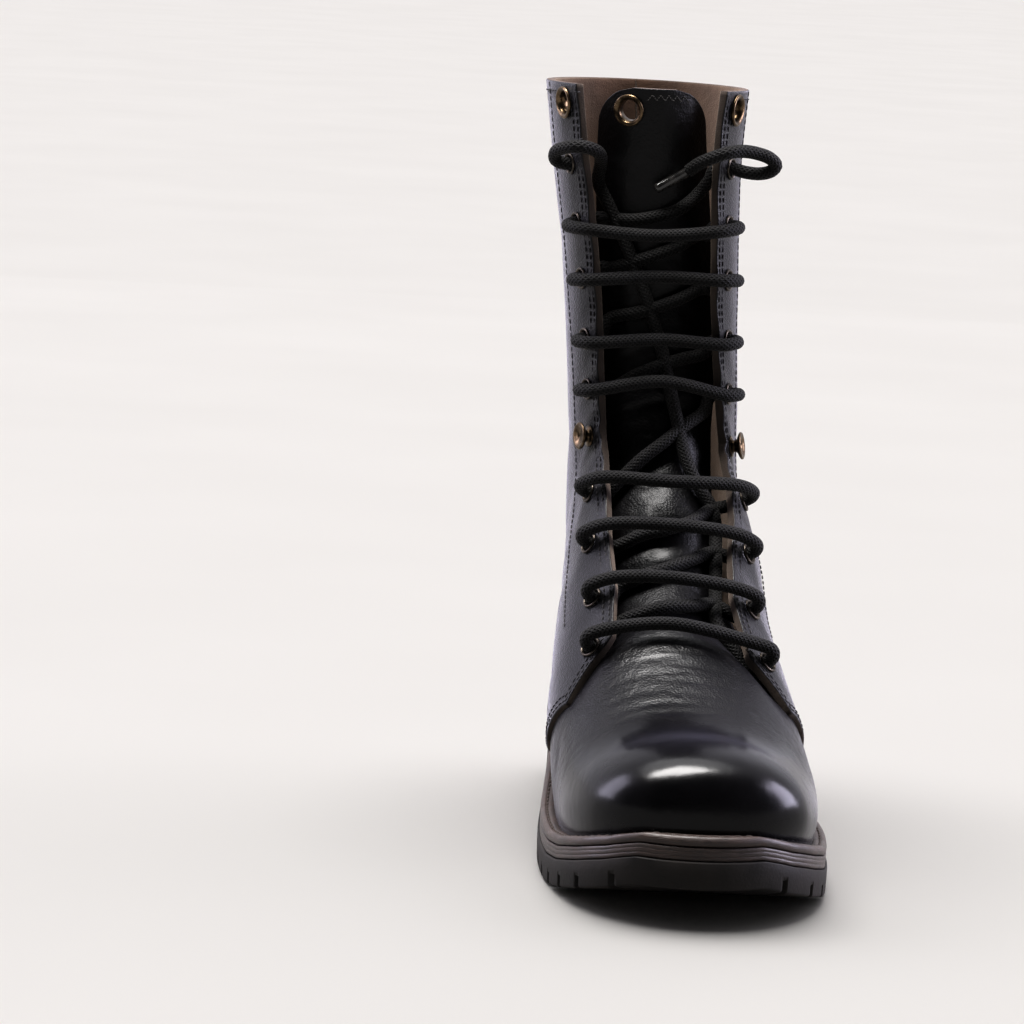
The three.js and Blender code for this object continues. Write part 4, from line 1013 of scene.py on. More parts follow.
# Round the ankle and up the shaft
QUARTER_CREASES = [
    (((9.3, side * 0.3), (10.2, side * 0.46), (11.2, side * 0.62)), 0.9, 4.5) for side in (-1, 1)
] + [
    (((10.9, side * 0.34), (11.9, side * 0.5), (12.7, side * 0.66)), 1, 5) for side in (-1, 1)
] + [
    (((13.2, side * 0.36), (14, side * 0.55), (14.9, side * 0.78)), 0.9, 5.5) for side in (-1, 1)
] + [
    (((16.2, -0.4), (16.6, -0.55), (16.4, -0.75)), 0.7, 6),
    (((18.6, 0.42), (18.9, 0.58), (18.5, 0.8)), 0.7, 6),
    (((19.8, -0.42), (20.1, -0.6), (19.7, -0.8)), 0.6, 6),
    (((8.3, -0.42), (8.7, -0.5), (9.3, -0.6)), 0.7, 4),
    (((8.2, 0.42), (8.6, 0.5), (9.2, 0.6)), 0.7, 4),
]


# Upper: vamp, quarters, heel counter and back strip

def set_foot(points, at_foot, sole=GAP):
    """Brings the lower edge of a piece down to the footbed."""
    points[..., 2] = np.where(at_foot, footbed(points[..., 1]) + sole, points[..., 2])
    return points


VAMP_COLUMNS = 141
VAMP_ROWS = 150
VAMP_START = 0.06
UNDER_QUARTERS = 0.3
STRIP_END = 8.55
STRIP_SIDES = (0.2, 0.3)
DIP_LENGTH = (7.0, 8.0)
DIP_SIDES = (0.26, 0.32)
CREASE_SHARE = 1.1


def make_vamp():
    """The vamp runs under the quarters, and in the middle it turns into the tongue."""
    v = np.linspace(-1, 1, VAMP_COLUMNS)
    middle = 1 - smoothstep(*STRIP_SIDES, np.abs(v))
    end = lerp(quarter_front(v) + UNDER_QUARTERS, STRIP_END, middle)
    t = np.linspace(0, 1, VAMP_ROWS)[:, None]
    u = VAMP_START + (end - VAMP_START)[None] * t
    v = np.broadcast_to(v, u.shape)
    base = on_last(u, v)
    normal = normal_on_last(u, v)
    lining = base - normal * (LINING_WALL * smoothstep(-0.6, 1.6, u))[..., None]
    side = base[..., 0] - on_last(u, 0 * v)[..., 0]
    dip = smoothstep(*DIP_LENGTH, u) * (1 - smoothstep(*DIP_SIDES, np.abs(v)))
    over, under = (off_tongue(np.maximum(u, 7.1), side, np.full(u.shape, h)) for h in (0.35, -0.5))
    base = lerp(base, over, dip[..., None])
    lining = lerp(lining, under, dip[..., None])
    lift = creases(base, VAMP_CREASES)
    at_foot = np.abs(v) == 1
    lift = normal * CREASE_SHARE * lift[..., None]
    outer = set_foot(relaxed(base, 40) + lift, at_foot)
    inner = set_foot(relaxed(lining, 40), at_foot)
    skin = Skin()
    tops = add_shell(skin, outer, inner, 0.6)
    vamp = skin.build("vamp", [VAMP_LEATHER, SUEDE, RAW_EDGE])
    toe_cap = 1 - smoothstep(5.0, 6.1, u)
    bend = smoothstep(6.3, 7.0, u) * (1 - smoothstep(0.06, 0.16, np.abs(v - 0.02)))
    set_shine(vamp, tops[0], np.maximum(toe_cap, 0.55 * bend))
    return finished(vamp, "upper_leather", "upper")


TIP_SHARE = 0.205


def quarter_grid(side, columns=72, rows=200):
    """Places (u, v) from the front edge to the collar, and from the throat to the back. A
    column passes through the facing's tip."""
    to_tip = np.linspace(0, TIP_SHARE, columns // 3)
    s = np.concatenate([to_tip, np.linspace(TIP_SHARE, 1, columns)[1:]])
    t = np.linspace(0, 1, rows)[:, None]
    v = side * lerp(0.16, 1, s)[None] + 0 * t
    for _ in range(6):
        u = lerp(quarter_front(v), COLLAR_SECTION, t)
        v = lerp(throat_edge(u, side), side, s[None])
    return u, v


# The facings swell a little between the eyelets
PUFF_HEIGHT = 0.35
PUFF_WAVES = 5.2
PUFF_REACH = 7 / 90


def make_quarters():
    """Both quarters with their facings, drilled for the eyelets and grommets."""
    skin = Skin()
    for side in (-1, 1):
        u, v = quarter_grid(side)
        if side < 0:
            u, v = u[:, ::-1], v[:, ::-1]
        base = on_last(u, v)
        normal = normal_on_last(u, v)
        lift = creases(base, QUARTER_CREASES)
        from_edge = np.abs(v - throat_edge(u, side)) / PUFF_REACH
        puff = PUFF_HEIGHT * np.sin(u * PUFF_WAVES) * np.exp(-from_edge**2)
        puff = puff * smoothstep(7.3, 8.5, u)
        at_foot = (np.abs(v) == 1) & (u < HEEL_SECTION)
        outer = base + normal * (QUARTER_STEP + lift + puff)[..., None]
        outer = set_foot(relaxed(outer, 12), at_foot)
        inner = set_foot(base - normal * LINING_WALL, at_foot)
        for grid in (outer, inner):
            grid[-1, :, 2] = base[-1, :, 2]
        add_shell(skin, outer, inner, 0.8)
    quarters = skin.build("quarters", [QUARTER_LEATHER, SUEDE, RAW_EDGE])
    holes = [(place, EYELET_HOLE / 2 + BARREL_WALL) for name in SIDES for place in eyelets[name]]
    holes += [(place, GROMMET_HOLE / 2 + BARREL_WALL) for place in grommets[:2]]
    cut_out(quarters, drills(holes))
    return finished(quarters, "upper_leather", "upper")


def drills(holes, reach=7, sides=24):
    """Round cutters through the leather at each seat."""
    skin = Skin()
    angle = np.linspace(0, 2 * math.pi, sides, endpoint=False)
    for (centre, axis), radius in holes:
        across = unit(np.cross(axis, [0.1, 0.2, 1]))
        other = np.cross(axis, across)
        ring = (across[None] * np.cos(angle)[:, None] + other[None] * np.sin(angle)[:, None]) * radius
        rings = [skin.add(centre + ring + axis * lift) for lift in (-reach, reach)]
        ends = [skin.add((centre + axis * lift)[None]) for lift in (-reach, reach)]
        low, high = (np.append(ring_index, ring_index[0]) for ring_index in rings)
        skin.grid(np.stack([low, high]))
        skin.grid(np.stack([np.full_like(low, ends[0][0]), low]))
        skin.grid(np.stack([high, np.full_like(high, ends[1][0])]))
    return merged(skin.build("drills", [RAW_EDGE]))


def make_counter():
    """The heel counter wraps round the back from one side to the other."""
    at = np.linspace(0, len(COUNTER) - 1, 64)
    foot, top_u, top_v = (np.interp(at, np.arange(len(COUNTER)), COUNTER[:, k]) for k in range(3))
    foot = np.concatenate([foot, foot[-2::-1]])
    top_u = np.concatenate([top_u, top_u[-2::-1]])
    signs = np.concatenate([np.ones(len(at)), -np.ones(len(at) - 1)])
    top_v = np.concatenate([top_v, top_v[-2::-1]]) * signs
    t = np.linspace(0, 1, 34)[:, None]
    u = lerp(foot[None], top_u[None], t)
    v = lerp(signs[None], top_v[None], t)
    at_foot = (t == 0) & (u < HEEL_SECTION + 0.1)
    outer = set_foot(raised(u, v, np.full(u.shape, QUARTER_STEP + COUNTER_STEP)), at_foot)
    inner = set_foot(raised(u, v, np.full(u.shape, QUARTER_STEP - 0.6)), at_foot)
    counter = shell_piece("heel_counter", outer, inner, [QUARTER_LEATHER, QUARTER_LEATHER, RAW_EDGE], 0.7)
    return finished(counter, "upper_leather", "upper")


def make_backstay():
    """A strip over the back seam, with a rounded lower end."""
    t = np.linspace(0, 1, 150)[:, None]
    s = np.linspace(-1, 1, 30)[None]
    width = (1 - BACKSTAY_V) * lerp(0.55, 1, smoothstep(0, 0.14, t))
    v = 1 + s * width
    u = lerp(BACKSTAY_FROM - 0.3 * (1 - s * s) * (1 - t), COLLAR_SECTION, t) + 0 * v
    outer = raised(u, v, np.full(u.shape, QUARTER_STEP + BACKSTAY_STEP))
    inner = raised(u, v, np.full(u.shape, QUARTER_STEP - 0.6))
    for grid in (outer, inner):
        grid[-1, :, 2] = on_last(COLLAR_SECTION, np.where(v[-1] > 1, v[-1] - 2, v[-1]))[:, 2]
    backstay = shell_piece("back_strip", outer, inner, [QUARTER_LEATHER, QUARTER_LEATHER, RAW_EDGE], 0.5)
    return finished(backstay, "upper_leather", "upper")


make_vamp()
make_quarters()
make_counter()
make_backstay()


# Tongue

# Across the tongue: section, its two sides, depth and width
TONGUE_WRINKLES = [
    (8.9, -14, 13, 0.5, 1.6), (9.3, -8, 15, 0.45, 1.5), (9.9, -15, 6, 0.5, 1.6),
    (10.5, -10, 14, 0.6, 2), (11.2, -14, 10, 0.6, 2), (12, -12, 13, 0.7, 2.4),
    (12.9, -15, 11, 0.7, 2.6), (13.8, -9, 16, 0.6, 2.6), (15.2, -16, 8, 0.5, 3),
    (16.8, -8, 17, 0.5, 3.4), (18.4, -17, 9, 0.45, 3.6), (19.7, -6, 17, 0.4, 3.6),
]


def make_tongue():
    """A soft tongue with round top corners, which leans a little outwards."""
    top = TONGUE[-1, 0]
    u = np.linspace(TONGUE[0, 0], top, 220)
    ridge = tongue_face(u, 0 * u)
    below_top = ridge[-1, 2] - ridge[:, 2]
    half = np.interp(u, TONGUE[:, 0], TONGUE[:, 2]) * BALL_WIDTH
    inset = np.clip(TONGUE_CORNER - below_top, 0, TONGUE_CORNER)
    half = half - TONGUE_CORNER + np.sqrt(np.maximum(TONGUE_CORNER**2 - inset**2, 0.01))
    share = np.linspace(-1, 1, 61)
    side = half[:, None] * share[None] + 0
    u = np.broadcast_to(u[:, None], side.shape)
    lean = TONGUE_LEAN * smoothstep(15, 21, u)
    lift = np.zeros(u.shape)
    for at, left, right, depth, width in TONGUE_WRINKLES:
        wave = at + 0.12 * np.sin(side * 0.25 + at * 3)
        away = (u - wave) * 12
        fade = smoothstep(left - 4, left + 3, side) * (1 - smoothstep(right - 3, right + 4, side))
        lift -= depth * fade * np.exp(-(away / width) ** 2)
    outer = relaxed(off_tongue(u, side, lift), 6)
    inner = off_tongue(u, side, lift * 0.4 - TONGUE_THICKNESS)
    for grid in (outer, inner):
        grid[..., 0] += lean
    skin = Skin()
    tops = add_shell(skin, outer, inner, 0.7)
    tongue = skin.build("tongue_piece", [TONGUE_LEATHER, SUEDE, RAW_EDGE])
    patches = np.exp(-((u - 9.1) / 0.35) ** 2 - ((side - 1) / 9) ** 2)
    patches += np.exp(-((u - 11.6) / 0.7) ** 2 - ((side - 1) / 8) ** 2)
    set_shine(tongue, tops[0], np.clip(0.8 * patches, 0, 1))
    cut_out(tongue, drills([(grommets[2], GROMMET_HOLE / 2 + BARREL_WALL)]))
    return finished(tongue, "tongue_leather", "tongue")


grommets[2] = (grommets[2][0] + np.array([TONGUE_LEAN, 0, 0]), grommets[2][1])
make_tongue()


# Sole

OUTLINE_STEPS = 260
OUTLINE_PASSES = 30


def outline(grow):
    """The feather line grown outwards: from the toe tip round the outer side, and back."""
    u = np.linspace(0, HEEL_SECTION, 900)
    outer = on_last(u, 1 + 0 * u)[:, :2]
    inner = on_last(u, -1 + 0 * u)[:, :2]
    loop = np.vstack([outer, inner[-2:0:-1]])
    closed = np.vstack([loop, loop[:1]])
    around = length_of(closed)
    even = at_runs(closed, np.linspace(0, around, 2 * OUTLINE_STEPS, endpoint=False))
    even = relaxed(even, OUTLINE_PASSES, closed=True)
    ahead = np.roll(even, -1, 0) - np.roll(even, 1, 0)
    out = unit(np.stack([ahead[:, 1], -ahead[:, 0]], axis=1))
    grown = even + out * grow
    return relaxed(grown, 6, closed=True), around


def behind(ring, front):
    """The part of an outline behind a straight front, which starts the new ring."""
    kept = ring[ring[:, 1] > front]
    middle = [kept[[0, -1], 0].mean(), front]
    line = np.vstack([middle, [kept[0, 0], front], kept, [kept[-1, 0], front], middle])
    return at_runs(line, np.linspace(0, length_of(line), 2 * OUTLINE_STEPS, endpoint=False))


def levels(profile, front=None):
    """Rings of points: each step of the profile has its growth and its height at each y."""
    rings = []
    for grow, height in profile:
        ring, around = outline(grow)
        if front is not None:
            ring = behind(ring, front)
        rings.append(np.column_stack([ring, height(ring[:, 1])]))
    return np.stack(rings), around


def side_uv(rings, around):
    """UV in centimetres: round the outline, and up the side."""
    count = rings.shape[1] + 1
    along = np.linspace(0, around / 10, count)
    rise = run_along(rings[:, 0]) / 10
    return np.stack(np.meshgrid(along, rise), axis=2)


def plate(name, profile, materials, front=None):
    """A plate that follows the sole's outline, with its top and bottom closed."""
    rings, around = levels(profile, front)
    skin = Skin()
    index = skin.add(rings)
    closed = np.concatenate([index, index[:, :1]], axis=1)
    skin.grid(closed, 0, side_uv(rings, around))
    half = OUTLINE_STEPS
    for ring, flip in ((index[0], False), (index[-1], True)):
        outer_side = ring[:half + 1]
        inner_side = np.append(ring[0], ring[:half - 1:-1])
        skin.grid(np.stack([inner_side, outer_side]), 1, flip=flip)
    return merged(skin.build(name, materials))


def sole_top(y):
    """The outsole's upper face, under the midsole."""
    return footbed(y) - MIDSOLE_THICKNESS - GAP


def sole_bottom(y):
    """Its lower face: on the ground at the forefoot, and higher under the shank."""
    tread = np.interp((y - TOE_TIP) / LAST_LENGTH, FOOTBED[:, 0], FOOTBED[:, 3])
    full = FOREFOOT_HEIGHT - MIDSOLE_THICKNESS - GAP
    return np.maximum(0, sole_top(y) - lerp(SHANK_SOLE_THICKNESS, full, tread))


def above(function, lift):
    return lambda y: function(y) + lift


def make_welt():
    """A strip round the upper with a rounded edge, and a groove for its seam."""
    top = WELT_HEIGHT
    profile = [
        (-1.1, GAP), (WELT_REACH - 0.5, GAP), (WELT_REACH, 0.8), (WELT_REACH + 0.1, top * 0.5),
        (WELT_REACH - 0.1, top - 1.1), (WELT_REACH - 0.6, top - 0.35), (WELT_REACH - 1.4, top),
        (WELT_REACH - 2.2, top - 0.05), (WELT_REACH - 2.6, top - 0.5), (WELT_REACH - 3, top - 0.1),
        (WELT_REACH - 4, top), (-1.1, top),
    ]
    rings, around = levels([(grow, above(footbed, lift)) for grow, lift in profile])
    skin = Skin()
    index = skin.add(rings)
    index = np.concatenate([index, index[:, :1]], axis=1)
    index = np.concatenate([index, index[:1]], axis=0)
    uv = side_uv(np.concatenate([rings, rings[:1]]), around)
    skin.grid(index, 0, uv)
    return finished(skin.build("welt_strip", [WELT_LEATHER]), "welt_leather", "welt")


def make_midsole():
    """Three layers of leather, pressed together and trimmed flush."""
    reach = MIDSOLE_REACH
    thick = MIDSOLE_THICKNESS
    steps = [
        (reach - 0.4, 0), (reach, 0.3), (reach + 0.05, 1.55), (reach - 0.08, 1.7), (reach + 0.05, 1.85),
        (reach + 0.05, 3.3), (reach - 0.07, 3.45), (reach + 0.05, 3.6), (reach, thick - 0.3),
        (reach - 0.4, thick - 0.02),
    ]
    profile = [(grow, above(footbed, lift - thick)) for grow, lift in steps]
    piece = plate("midsole_layers", profile, [SOLE_LEATHER, SOLE_LEATHER])
    return finished(piece, "sole_leather", "midsole")


def groove_block(skin, length, width, height, x, y, z, turn):
    """One cutter, a box turned about the upright axis."""
    corners = np.array([[a, b, c] for c in (-0.5, 0.5) for b in (-0.5, 0.5) for a in (-0.5, 0.5)])
    corners = corners * [length, width, height]
    cos, sin = math.cos(turn), math.sin(turn)
    a, b, c = corners.T
    spun = np.column_stack([a * cos - b * sin, a * sin + b * cos, c])
    index = skin.add(spun + [x, y, z])
    for a, b, c, d in ((0, 2, 3, 1), (4, 5, 7, 6), (0, 1, 5, 4), (2, 6, 7, 3), (0, 4, 6, 2), (1, 3, 7, 5)):
        skin.grid(index[np.array([[a, b], [d, c]])])


def widths_at(grow, y):
    """Where the outline's two sides lie at y."""
    ring, _ = outline(grow)
    outer = ring[:OUTLINE_STEPS + 1]
    inner = np.vstack([ring[:1], ring[:OUTLINE_STEPS - 1:-1]])
    return {
        "inner": np.interp(y, inner[:, 1], inner[:, 0]),
        "outer": np.interp(y, outer[:, 1], outer[:, 0]),
    }


def edge_grooves(skin, start, end, bottom):
    """Cutters square to the edge, along both sides of the tread."""
    count = int(round((end - start) / GROOVE_PITCH))
    for y in np.linspace(start, end, count + 1):
        here, ahead = widths_at(OUTSOLE_REACH, y), widths_at(OUTSOLE_REACH, y + 1)
        for name, side in SIDES.items():
            turn = -math.atan2(ahead[name] - here[name], 1)
            inwards = GROOVE_LENGTH / 2 - GROOVE_PITCH / 5
            groove_block(
                skin, GROOVE_LENGTH, GROOVE_WIDTH, LUG_DEPTH * 2,
                here[name] - side * inwards * math.cos(turn), y - side * inwards * math.sin(turn),
                float(bottom(y)), turn)


def middle_grooves(skin, start, end, bottom):
    """Crossed cutters along the middle of the tread."""
    count = int(round((end - start) / CENTRE_GROOVE_PITCH))
    for y in np.linspace(start, end, count + 1):
        here = widths_at(OUTSOLE_REACH, y)
        middle = (here["inner"] + here["outer"]) / 2
        for turn in (math.pi / 4, -math.pi / 4):
            groove_block(
                skin, GROOVE_LENGTH, CENTRE_GROOVE_WIDTH, LUG_DEPTH * 2 + 0.01 * turn,
                middle, y, float(bottom(y)), turn)


def make_outsole():
    """The rubber sole, with rounded edges and its tread cut in."""
    reach = OUTSOLE_REACH
    profile = [
        (reach - 1.3, sole_bottom),
        (reach - 0.5, above(sole_bottom, 0.35)),
        (reach - 0.2, above(sole_bottom, 1)),
        (reach, lambda y: lerp(sole_bottom(y), sole_top(y), 0.6)),
        (reach, above(sole_top, -0.6)), (reach - 0.2, above(sole_top, -0.15)), (reach - 0.6, sole_top),
    ]
    sole = plate("outsole_rubber", profile, [RUBBER, RUBBER])
    front = lengthwise(0.02)
    back = lengthwise(0.42) - GROOVE_WIDTH * 2
    skin = Skin()
    edge_grooves(skin, front, back, sole_bottom)
    cut_out(sole, skin.build("grooves", [RUBBER]))
    skin = Skin()
    middle_grooves(skin, front + GROOVE_PITCH, back - GROOVE_PITCH / 2, sole_bottom)
    cut_out(sole, skin.build("grooves", [RUBBER]))
    return finished(sole, "sole_rubber", "outsole")


def make_heel():
    """A rubber block in three lifts, straight across its front."""
    reach = OUTSOLE_REACH - HEEL_REACH_LOSS
    back = lengthwise(1) + OUTSOLE_REACH
    breast = back - HEEL_LENGTH

    def part_way(share):
        return lambda y: share * (sole_bottom(y) - GAP)

    steps = [(-1.9, 0), (-1.3, 0.012), (-1.1, 0.05), (-0.75, 0.34), (-0.95, 0.35), (-0.75, 0.36)]
    steps += [(-0.4, 0.66), (-0.6, 0.67), (-0.4, 0.68), (0, 0.97), (-0.4, 1)]
    profile = [(reach + grow * HEEL_TAPER, part_way(share)) for grow, share in steps]
    piece = plate("heel_block", profile, [RUBBER, RUBBER], breast)
    skin = Skin()
    edge_grooves(skin, breast + GROOVE_PITCH, back - GROOVE_PITCH * 1.4, lambda y: 0)
    cut_out(piece, skin.build("grooves", [RUBBER]))
    return finished(piece, "sole_rubber", "heel")


def make_insole():
    """A soft board inside the upper."""
    grow = -LINING_WALL - 0.6
    profile = [
        (grow - 0.4, above(footbed, GAP)), (grow, above(footbed, GAP + 0.5)),
        (grow, above(footbed, GAP + INSOLE_THICKNESS - 0.8)),
        (grow - 0.8, above(footbed, GAP + INSOLE_THICKNESS)),
    ]
    piece = plate("insole_board", profile, [SUEDE, SUEDE])
    return finished(piece, "insole_leather", "insole")


make_welt()
make_midsole()
make_outsole()
make_heel()
make_insole()


# Geometry Nodes: one tree sets copies of a turned piece on points, one sews along lines

class Build:
    """A Geometry Nodes tree with named inputs, and a finish for what it makes."""

    def __init__(self, name, **inputs):
        self.tree = bpy.data.node_groups.new(name, "GeometryNodeTree")
        new_socket = self.tree.interface.new_socket
        for label, kind in {"Geometry": "Geometry", **inputs, "Finish": "Material"}.items():
            new_socket(name=label, in_out="INPUT", socket_type="NodeSocket" + kind)
        new_socket(name="Geometry", in_out="OUTPUT", socket_type="NodeSocketGeometry")
        self.given = self.tree.nodes.new("NodeGroupInput").outputs

    def node(self, kind, links=None, values=None, **settings):
        return add_node(self.tree, kind, links, values, **settings)

    def set_out(self, points, piece, direction):
        """Ends the tree: a copy of the piece on each point, turned that way, as plain mesh."""
        turn = self.node("FunctionNodeAlignRotationToVector", {"Vector": direction}, axis="Z")
        copies = self.node("GeometryNodeInstanceOnPoints", {
            "Points": points, "Instance": piece, "Rotation": turn.outputs["Rotation"]})
        real = self.node("GeometryNodeRealizeInstances", {"Geometry": copies.outputs["Instances"]})
        paint = self.node("GeometryNodeSetMaterial", {
            "Geometry": real.outputs["Geometry"], "Material": self.given["Finish"]})
        self.node("NodeGroupOutput", {"Geometry": paint.outputs["Geometry"]})
        return self.tree


def run_tree(tree, piece, values):
    """Runs a tree on a piece with its named inputs set, and keeps the plain mesh."""
    modifier = piece.modifiers.new(tree.name, "NODES")
    modifier.node_group = tree
    for item in tree.interface.items_tree:
        if item.item_type == "SOCKET" and item.name in values:
            modifier[item.identifier] = values[item.name]
    plain_mesh(piece)
    smoothed(piece.data)


def seating_tree():
    """Sets a copy of a piece on each point, along the axis kept with the point."""
    build = Build("seated_pieces", Piece="Object")
    axis = build.node(
        "GeometryNodeInputNamedAttribute", values={"Name": "axis"}, data_type="FLOAT_VECTOR")
    shape = build.node("GeometryNodeObjectInfo", {"Object": build.given["Piece"]})
    return build.set_out(
        build.given["Geometry"], shape.outputs["Geometry"], axis.outputs["Attribute"])


def sewing_tree():
    """Lays a stitch at every pitch along the lines."""
    build = Build("sewn_stitches", Pitch="Float", Length="Float", Thread="Float")
    given = build.given
    lines = build.node("GeometryNodeMeshToCurve", {"Mesh": given["Geometry"]})
    spaced = build.node(
        "GeometryNodeResampleCurve", {"Curve": lines.outputs["Curve"], "Length": given["Pitch"]},
        mode="LENGTH")
    ball = build.node(
        "GeometryNodeMeshUVSphere", values={"Segments": 6, "Rings": 6, "Radius": 0.5})
    size = build.node("ShaderNodeCombineXYZ", {
        "X": given["Thread"], "Y": given["Thread"], "Z": given["Length"]})
    stitch = build.node("GeometryNodeTransform", {
        "Geometry": ball.outputs["Mesh"], "Scale": size.outputs["Vector"]})
    tangent = build.node("GeometryNodeInputTangent")
    return build.set_out(
        spaced.outputs["Curve"], stitch.outputs["Geometry"], tangent.outputs["Tangent"])


SEATING = seating_tree()
SEWING = sewing_tree()


# Metal, turned on a lathe: profiles are radius and height over the leather's face

def turned(profile, segments=40):
    """A closed profile of radius and height, turned round the upright axis."""
    angle = np.linspace(0, 2 * math.pi, segments, endpoint=False)
    points = np.array([[[r * math.cos(a), r * math.sin(a), h] for a in angle] for r, h in profile])
    skin = Skin()
    index = skin.add(points - ORIGIN)
    index = np.concatenate([index, index[:, :1]], axis=1)
    index = np.concatenate([index, index[:1]], axis=0)
    skin.grid(index)
    return merged(skin.build("lathe_work", [BRASS]))


def seated(name, shape, places, finish):
    """Copies of a shape at their places, each a centre and an axis."""
    mesh = bpy.data.meshes.new(name)
    mesh.from_pydata([((centre + ORIGIN) * MM).tolist() for centre, _ in places], [], [])
    axes = np.array([axis for _, axis in places], np.float32)
    mesh.attributes.new("axis", "FLOAT_VECTOR", "POINT").data.foreach_set("vector", axes.ravel())
    piece = placed(name, mesh)
    run_tree(SEATING, piece, {"Piece": shape, "Finish": finish})
    return piece


def arc(centre, radius, start, end, count):
    """Points on an arc in a profile, angles in degrees from outwards to up."""
    return [
        (centre[0] + radius * math.cos(a), centre[1] + radius * math.sin(a))
        for a in np.radians(np.linspace(start, end, count))]


def ring_profile(outer, hole, through, roll):
    """A rolled flange, and a funnel into the barrel, which ends behind the leather."""
    inside, rim = hole / 2, outer / 2
    profile = [(inside, -through + 0.2), (inside + BARREL_WALL, -through), (inside + BARREL_WALL, 0.1)]
    profile += [(rim - roll, 0.05)]
    profile += arc((rim - roll, 0.05 + roll), roll, -60, 120, 8)
    profile += [(inside + roll, roll * 1.6), (inside + 0.25, roll * 0.9), (inside, -0.3)]
    return profile


def make_metal():
    """Eyelets and grommets seated in their holes, and studs riveted through."""
    rounds = turned(ring_profile(EYELET_OUTER, EYELET_HOLE, WALL_THROUGH, 0.55))
    for name in SIDES:
        piece = seated(f"eyelets_{name}", rounds, eyelets[name], DARK_METAL)
        finished(piece, "eyelet_metal", *[f"eyelet_{name}_{i + 1}" for i in range(len(eyelets[name]))])
    bpy.data.objects.remove(rounds)
    large = turned(ring_profile(GROMMET_OUTER, GROMMET_HOLE, WALL_THROUGH, 0.75), 56)
    piece = seated("grommets", large, grommets, BRASS)
    finished(piece, "brass", "collar_grommet_inner", "collar_grommet_outer", "tongue_grommet")
    bpy.data.objects.remove(large)
    head = STUD_HEAD / 2
    knob = turned([
        (0.01, -WALL_THROUGH), (STUD_POST, -WALL_THROUGH), (STUD_POST, 0.2), (STUD_POST + 1.8, 0.25),
        (STUD_POST + 1.9, 0.6), (STUD_POST + 0.9, 0.9), (STUD_POST - 0.1, 1.5), (STUD_POST - 0.1, 2.3),
        (STUD_POST + 0.5, 3), (head - 0.7, 3.9), (head - 0.1, 4.3), (head, 4.7), (head - 0.3, 5.1),
        (head - 1, STUD_HEIGHT), (head - 1.9, 4.8), (head - 2.6, 4.4), (0.01, 4.3),
    ], 48)
    piece = seated("speed_studs", knob, studs, BRASS)
    finished(piece, "brass", "stud_inner", "stud_outer")
    bpy.data.objects.remove(knob)


make_metal()


# Seams: rows of stitches along lines on the leather

def sew(name, lines, pitch, thread, finish, slot, closed=False):
    """lines are rows of points; a closed line meets its own start."""
    points, edges = [], []
    for line in lines:
        first = len(points)
        points += ((line + ORIGIN) * MM).tolist()
        edges += [(first + i, first + i + 1) for i in range(len(line) - 1)]
        if closed:
            edges.append((first + len(line) - 1, first))
    mesh = bpy.data.meshes.new(name)
    mesh.from_pydata(points, edges, [])
    piece = placed(name, mesh)
    sizes = {"Pitch": pitch * MM, "Length": pitch * 0.8 * MM, "Thread": thread * MM, "Finish": finish}
    run_tree(SEWING, piece, sizes)
    return finished(piece, slot)


SEAM_LIFT = QUARTER_STEP + 0.06


DOUBLE_SEAM = ((2, 7.55), (5, 7.75))
FACING_WIDTH = 28


def facing_lines():
    """Double rows by the throat, one behind the facing, and rows at its front and collar."""
    lines = []
    for side in (-1, 1):
        for inset, start in DOUBLE_SEAM:
            u = np.linspace(start, 21.85, 220)
            lines.append(raised(u, behind_throat(u, side, inset), np.full(u.shape, SEAM_LIFT)))
        u = np.linspace(8.6, 21.95, 200)
        lines.append(raised(u, behind_throat(u, side, FACING_WIDTH), np.full(u.shape, SEAM_LIFT)))
        for back in (0.055, 0.13):
            v = side * np.linspace(0.2, 0.33, 30)
            lines.append(raised(quarter_front(v) + back * 1.2, v, np.full(v.shape, SEAM_LIFT)))
            v = side * np.linspace(0.345, 0.985, 110)
            lines.append(raised(quarter_front(v) + back * 1.5, v, np.full(v.shape, SEAM_LIFT)))
        for at, start in ((21.1, 0.265), (21.87, 0.26)):
            v = side * np.linspace(start, 0.885, 120)
            lines.append(raised(np.full(v.shape, at), v, np.full(v.shape, SEAM_LIFT)))
    return lines


def counter_lines():
    """Double rows along the counter's top, and one down each side of the back strip."""
    at = np.linspace(0.3, len(COUNTER) - 1.001, 120)
    _, top_u, top_v = (np.interp(at, np.arange(len(COUNTER)), COUNTER[:, k]) for k in range(3))
    lines = []
    height = np.full(at.shape, QUARTER_STEP + COUNTER_STEP + 0.06)
    for side in (-1, 1):
        for inset in (0.022, 0.05):
            lines.append(raised(top_u - inset * 2, side * np.minimum(top_v + inset, 1), height))
    u = np.linspace(BACKSTAY_FROM + 0.1, 21.9, 160)
    lift = np.full(u.shape, QUARTER_STEP + BACKSTAY_STEP + 0.06)
    for side in (-1, 1):
        lines.append(raised(u, side * np.full(u.shape, BACKSTAY_V + 0.018), lift))
    return lines


def welt_line():
    """Round the welt, in its groove."""
    ring, _ = outline(WELT_REACH - 2.6)
    return np.column_stack([ring, footbed(ring[:, 1]) + WELT_HEIGHT - 0.25])


def tongue_zigzag():
    """A zigzag seam across the tongue's top."""
    side = np.arange(-3, 15.1, 1.7)
    u = 21.66 + 0.1 * (np.arange(len(side)) % 2)
    line = off_tongue(u, side, np.full(side.shape, 0.1))
    line[:, 0] += TONGUE_LEAN
    return line


